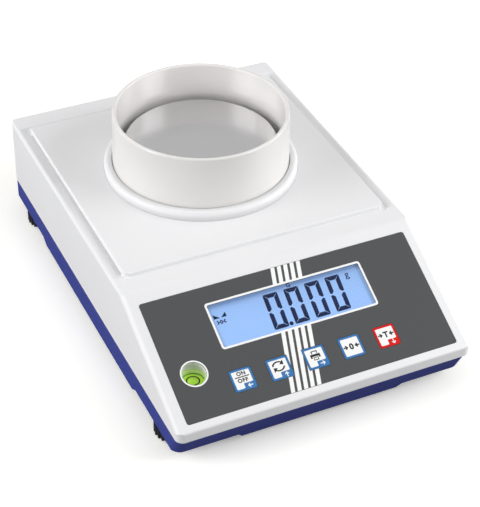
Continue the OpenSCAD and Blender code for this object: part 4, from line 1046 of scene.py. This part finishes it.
# %% Screws with a cross recess
tree, given = new_tree("cross recess screws", {
    "Head radius": "Float", "Head height": "Float", "Shank radius": "Float", "Shank length": "Float",
    "Slot length": "Float", "Slot width": "Float", "Slot depth": "Float", "Places": "Object",
    "Metal": "Material",
})
crown = add(tree, "ShaderNodeMath", {0: given["Head radius"], 1: 0.8}, operation="MULTIPLY")
head = add(tree, "GeometryNodeMeshCone", {
    "Vertices": 32, "Radius Top": crown.outputs[0], "Radius Bottom": given["Head radius"],
    "Depth": given["Head height"],
})
slot_size = add(tree, "ShaderNodeCombineXYZ", {
    "X": given["Slot length"], "Y": given["Slot width"], "Z": given["Slot depth"],
})
slot_bar = add(tree, "GeometryNodeMeshCube", {"Size": slot_size.outputs[0]})
slot_place = add(tree, "ShaderNodeCombineXYZ", {"Z": given["Head height"]})
slot_one = add(tree, "GeometryNodeTransform", {
    "Geometry": slot_bar.outputs[0], "Translation": slot_place.outputs[0],
})
slot_two = add(tree, "GeometryNodeTransform", {
    "Geometry": slot_one.outputs[0], "Rotation": (0, 0, math.pi / 2),
})
one_slot = add(tree, "GeometryNodeMeshBoolean", {"Mesh 1": head.outputs[0], "Mesh 2": slot_one.outputs[0]},
               operation="DIFFERENCE")
cross = add(tree, "GeometryNodeMeshBoolean", {"Mesh 1": one_slot.outputs[0], "Mesh 2": slot_two.outputs[0]},
            operation="DIFFERENCE")
shank = add(tree, "GeometryNodeMeshCylinder", {
    "Vertices": 24, "Radius": given["Shank radius"], "Depth": given["Shank length"],
})
half_shank = add(tree, "ShaderNodeMath", {0: given["Shank length"], 1: -0.5}, operation="MULTIPLY")
shank_place = add(tree, "ShaderNodeCombineXYZ", {"Z": half_shank.outputs[0]})
shank = add(tree, "GeometryNodeTransform", {
    "Geometry": shank.outputs[0], "Translation": shank_place.outputs[0],
})
screw = add(tree, "GeometryNodeJoinGeometry", {"Geometry": cross.outputs[0]})
tree.links.new(shank.outputs[0], screw.inputs[0])
turned = add(tree, "GeometryNodeTransform", {"Geometry": screw.outputs[0], "Rotation": (math.pi, 0, 0)})
points = add(tree, "GeometryNodeObjectInfo", {"Object": given["Places"]})
screws = add(tree, "GeometryNodeInstanceOnPoints",
             {"Points": points.outputs["Geometry"], "Instance": turned.outputs[0]})
end_tree(tree, screws.outputs[0], given["Metal"])

screw_x = 58
screw_rows = (-42, 62)
screw_seat = 8.8
screw_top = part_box("housing_screws")[1].z / mm
places = bpy.data.meshes.new("screw places")
places.from_pydata([(x, y, screw_seat) for x in (-screw_x, screw_x) for y in screw_rows], [], [])
places_object = helper_object("screw_places", places)
screw_mesh = by_nodes(tree, {
    "Head radius": 2.8, "Head height": 2.4, "Shank radius": 1.5, "Shank length": screw_top - screw_seat,
    "Slot length": 3.4, "Slot width": 0.8, "Slot depth": 2.6, "Places": places_object, "Metal": zinc_plate,
})
bpy.data.objects.remove(places_object)
screw_mesh.transform(Matrix.Scale(mm, 4))
screw_piece = piece("tray_screws", screw_mesh, zinc_plate, "base")
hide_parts("housing_screws")

# %% [markdown]
# ## Threads of the feet
#
# A foot wheel turns on a threaded stud and screws out by a millimetre a turn. A thread is a surface that
# follows a rule: at a given height and angle the radius is a triangle wave of height minus angle. So the
# tree bends a flat grid into a tube and sets that radius. The first and last rows close to a point, and
# doubles are merged, so the stud is a closed solid. The same tree makes all four.

# %% Threaded studs
tree, given = new_tree("threaded stud", {
    "Radius": "Float", "Thread depth": "Float", "Pitch": "Float", "Length": "Float", "Rows": "Int",
    "Metal": "Material",
})
grid = add(tree, "GeometryNodeMeshGrid", {
    "Size X": 1.0, "Size Y": 1.0, "Vertices X": 33, "Vertices Y": given["Rows"],
})
where = add(tree, "ShaderNodeSeparateXYZ", {0: add(tree, "GeometryNodeInputPosition").outputs[0]})
share = add(tree, "ShaderNodeMath", {0: where.outputs["X"], 1: 0.5}, operation="ADD")
angle = add(tree, "ShaderNodeMath", {0: share.outputs[0], 1: 2 * math.pi}, operation="MULTIPLY")
along = add(tree, "ShaderNodeMath", {0: where.outputs["Y"], 1: 0.5}, operation="ADD")
rise = add(tree, "ShaderNodeMath", {0: along.outputs[0], 1: given["Length"]}, operation="MULTIPLY")
turns = add(tree, "ShaderNodeMath", {0: rise.outputs[0], 1: given["Pitch"]}, operation="DIVIDE")
phase = add(tree, "ShaderNodeMath", {0: turns.outputs[0], 1: share.outputs[0]}, operation="SUBTRACT")
wave = add(tree, "ShaderNodeMath", {0: phase.outputs[0], 1: 0.5}, operation="PINGPONG")
groove = add(tree, "ShaderNodeMath", {0: wave.outputs[0], 1: given["Thread depth"]}, operation="MULTIPLY")
groove = add(tree, "ShaderNodeMath", {0: groove.outputs[0], 1: -2.0}, operation="MULTIPLY")
radius = add(tree, "ShaderNodeMath", {0: groove.outputs[0], 1: given["Radius"]}, operation="ADD")
middle = add(tree, "ShaderNodeMath", {0: where.outputs["Y"]}, operation="ABSOLUTE")
inside = add(tree, "ShaderNodeMath", {0: middle.outputs[0], 1: 0.4999}, operation="LESS_THAN")
radius = add(tree, "ShaderNodeMath", {0: radius.outputs[0], 1: inside.outputs[0]}, operation="MULTIPLY")
cosine = add(tree, "ShaderNodeMath", {0: angle.outputs[0]}, operation="COSINE")
sine = add(tree, "ShaderNodeMath", {0: angle.outputs[0]}, operation="SINE")
out_x = add(tree, "ShaderNodeMath", {0: radius.outputs[0], 1: cosine.outputs[0]}, operation="MULTIPLY")
out_y = add(tree, "ShaderNodeMath", {0: radius.outputs[0], 1: sine.outputs[0]}, operation="MULTIPLY")
spot = add(tree, "ShaderNodeCombineXYZ", {
    "X": out_x.outputs[0], "Y": out_y.outputs[0], "Z": rise.outputs[0],
})
bent = add(tree, "GeometryNodeSetPosition", {"Geometry": grid.outputs[0], "Position": spot.outputs[0]})
closed = add(tree, "GeometryNodeMergeByDistance", {"Geometry": bent.outputs[0], "Distance": 0.002})
end_tree(tree, closed.outputs[0], given["Metal"])

thread_depth = 0.55
thread_pitch = 1.0
rows_a_mm = 6
for corner in ("fl", "fr", "rl", "rr"):
    low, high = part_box("foot_stud_" + corner)
    length = (high.z - low.z) / mm
    stud = by_nodes(tree, {
        "Radius": (high.x - low.x) / 2 / mm, "Thread depth": thread_depth, "Pitch": thread_pitch,
        "Length": length, "Rows": int(length * rows_a_mm) + 1, "Metal": zinc_plate,
    })
    foot = Vector(((low.x + high.x) / 2, (low.y + high.y) / 2, low.z))
    stud.transform(Matrix.Translation(foot) @ Matrix.Scale(mm, 4))
    tidy = bmesh.new()
    tidy.from_mesh(stud)
    bmesh.ops.recalc_face_normals(tidy, faces=tidy.faces)
    tidy.to_mesh(stud)
    tidy.free()
    stud_piece = piece("thread_" + corner, stud, zinc_plate, "wheel_" + corner)
    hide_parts("foot_stud_" + corner)

# %% [markdown]
# ## Contacts of the data socket
#
# The socket at the back has nine holes, five over four, and each holds a brass sleeve. One sleeve is a
# tube, a cylinder with a bore cut out of it. The tree puts it on two rows of points, and the rows are half
# a pitch apart, as in every socket of this shape.

# %% Contact sleeves
tree, given = new_tree("contact sleeves", {
    "Radius": "Float", "Bore": "Float", "Length": "Float", "Pitch": "Float", "Row": "Float",
    "Metal": "Material",
})
tube = add(tree, "GeometryNodeMeshCylinder", {
    "Vertices": 20, "Radius": given["Radius"], "Depth": given["Length"],
})
longer = add(tree, "ShaderNodeMath", {0: given["Length"], 1: 1.5}, operation="MULTIPLY")
drill = add(tree, "GeometryNodeMeshCylinder", {
    "Vertices": 20, "Radius": given["Bore"], "Depth": longer.outputs[0],
})
drilled = add(tree, "GeometryNodeMeshBoolean", {"Mesh 1": tube.outputs[0], "Mesh 2": drill.outputs[0]},
              operation="DIFFERENCE")
sleeve = add(tree, "GeometryNodeTransform", {
    "Geometry": drilled.outputs[0], "Rotation": (math.pi / 2, 0, 0),
})
step = add(tree, "ShaderNodeCombineXYZ", {"X": given["Pitch"]})
rows = add(tree, "GeometryNodeJoinGeometry")
for count, first, side in ((5, -2.0, 1), (4, -1.5, -1)):
    start_x = add(tree, "ShaderNodeMath", {0: given["Pitch"], 1: first}, operation="MULTIPLY")
    start_z = add(tree, "ShaderNodeMath", {0: given["Row"], 1: side}, operation="MULTIPLY")
    start = add(tree, "ShaderNodeCombineXYZ", {"X": start_x.outputs[0], "Z": start_z.outputs[0]})
    line = add(tree, "GeometryNodeMeshLine",
               {"Count": count, "Start Location": start.outputs[0], "Offset": step.outputs[0]})
    tree.links.new(line.outputs[0], rows.inputs[0])
sleeves = add(tree, "GeometryNodeInstanceOnPoints", {
    "Points": rows.outputs[0], "Instance": sleeve.outputs[0],
})
end_tree(tree, sleeves.outputs[0], given["Metal"])

contact_mesh = by_nodes(tree, {
    "Radius": 0.53, "Bore": 0.34, "Length": 5.0, "Pitch": 2.77, "Row": 1.42, "Metal": turned_brass,
})
socket_middle = Vector((-14, 118.6, 31)) * mm
contact_mesh.transform(Matrix.Translation(socket_middle) @ Matrix.Scale(mm, 4))
piece("data_contacts", contact_mesh, turned_brass, "base")
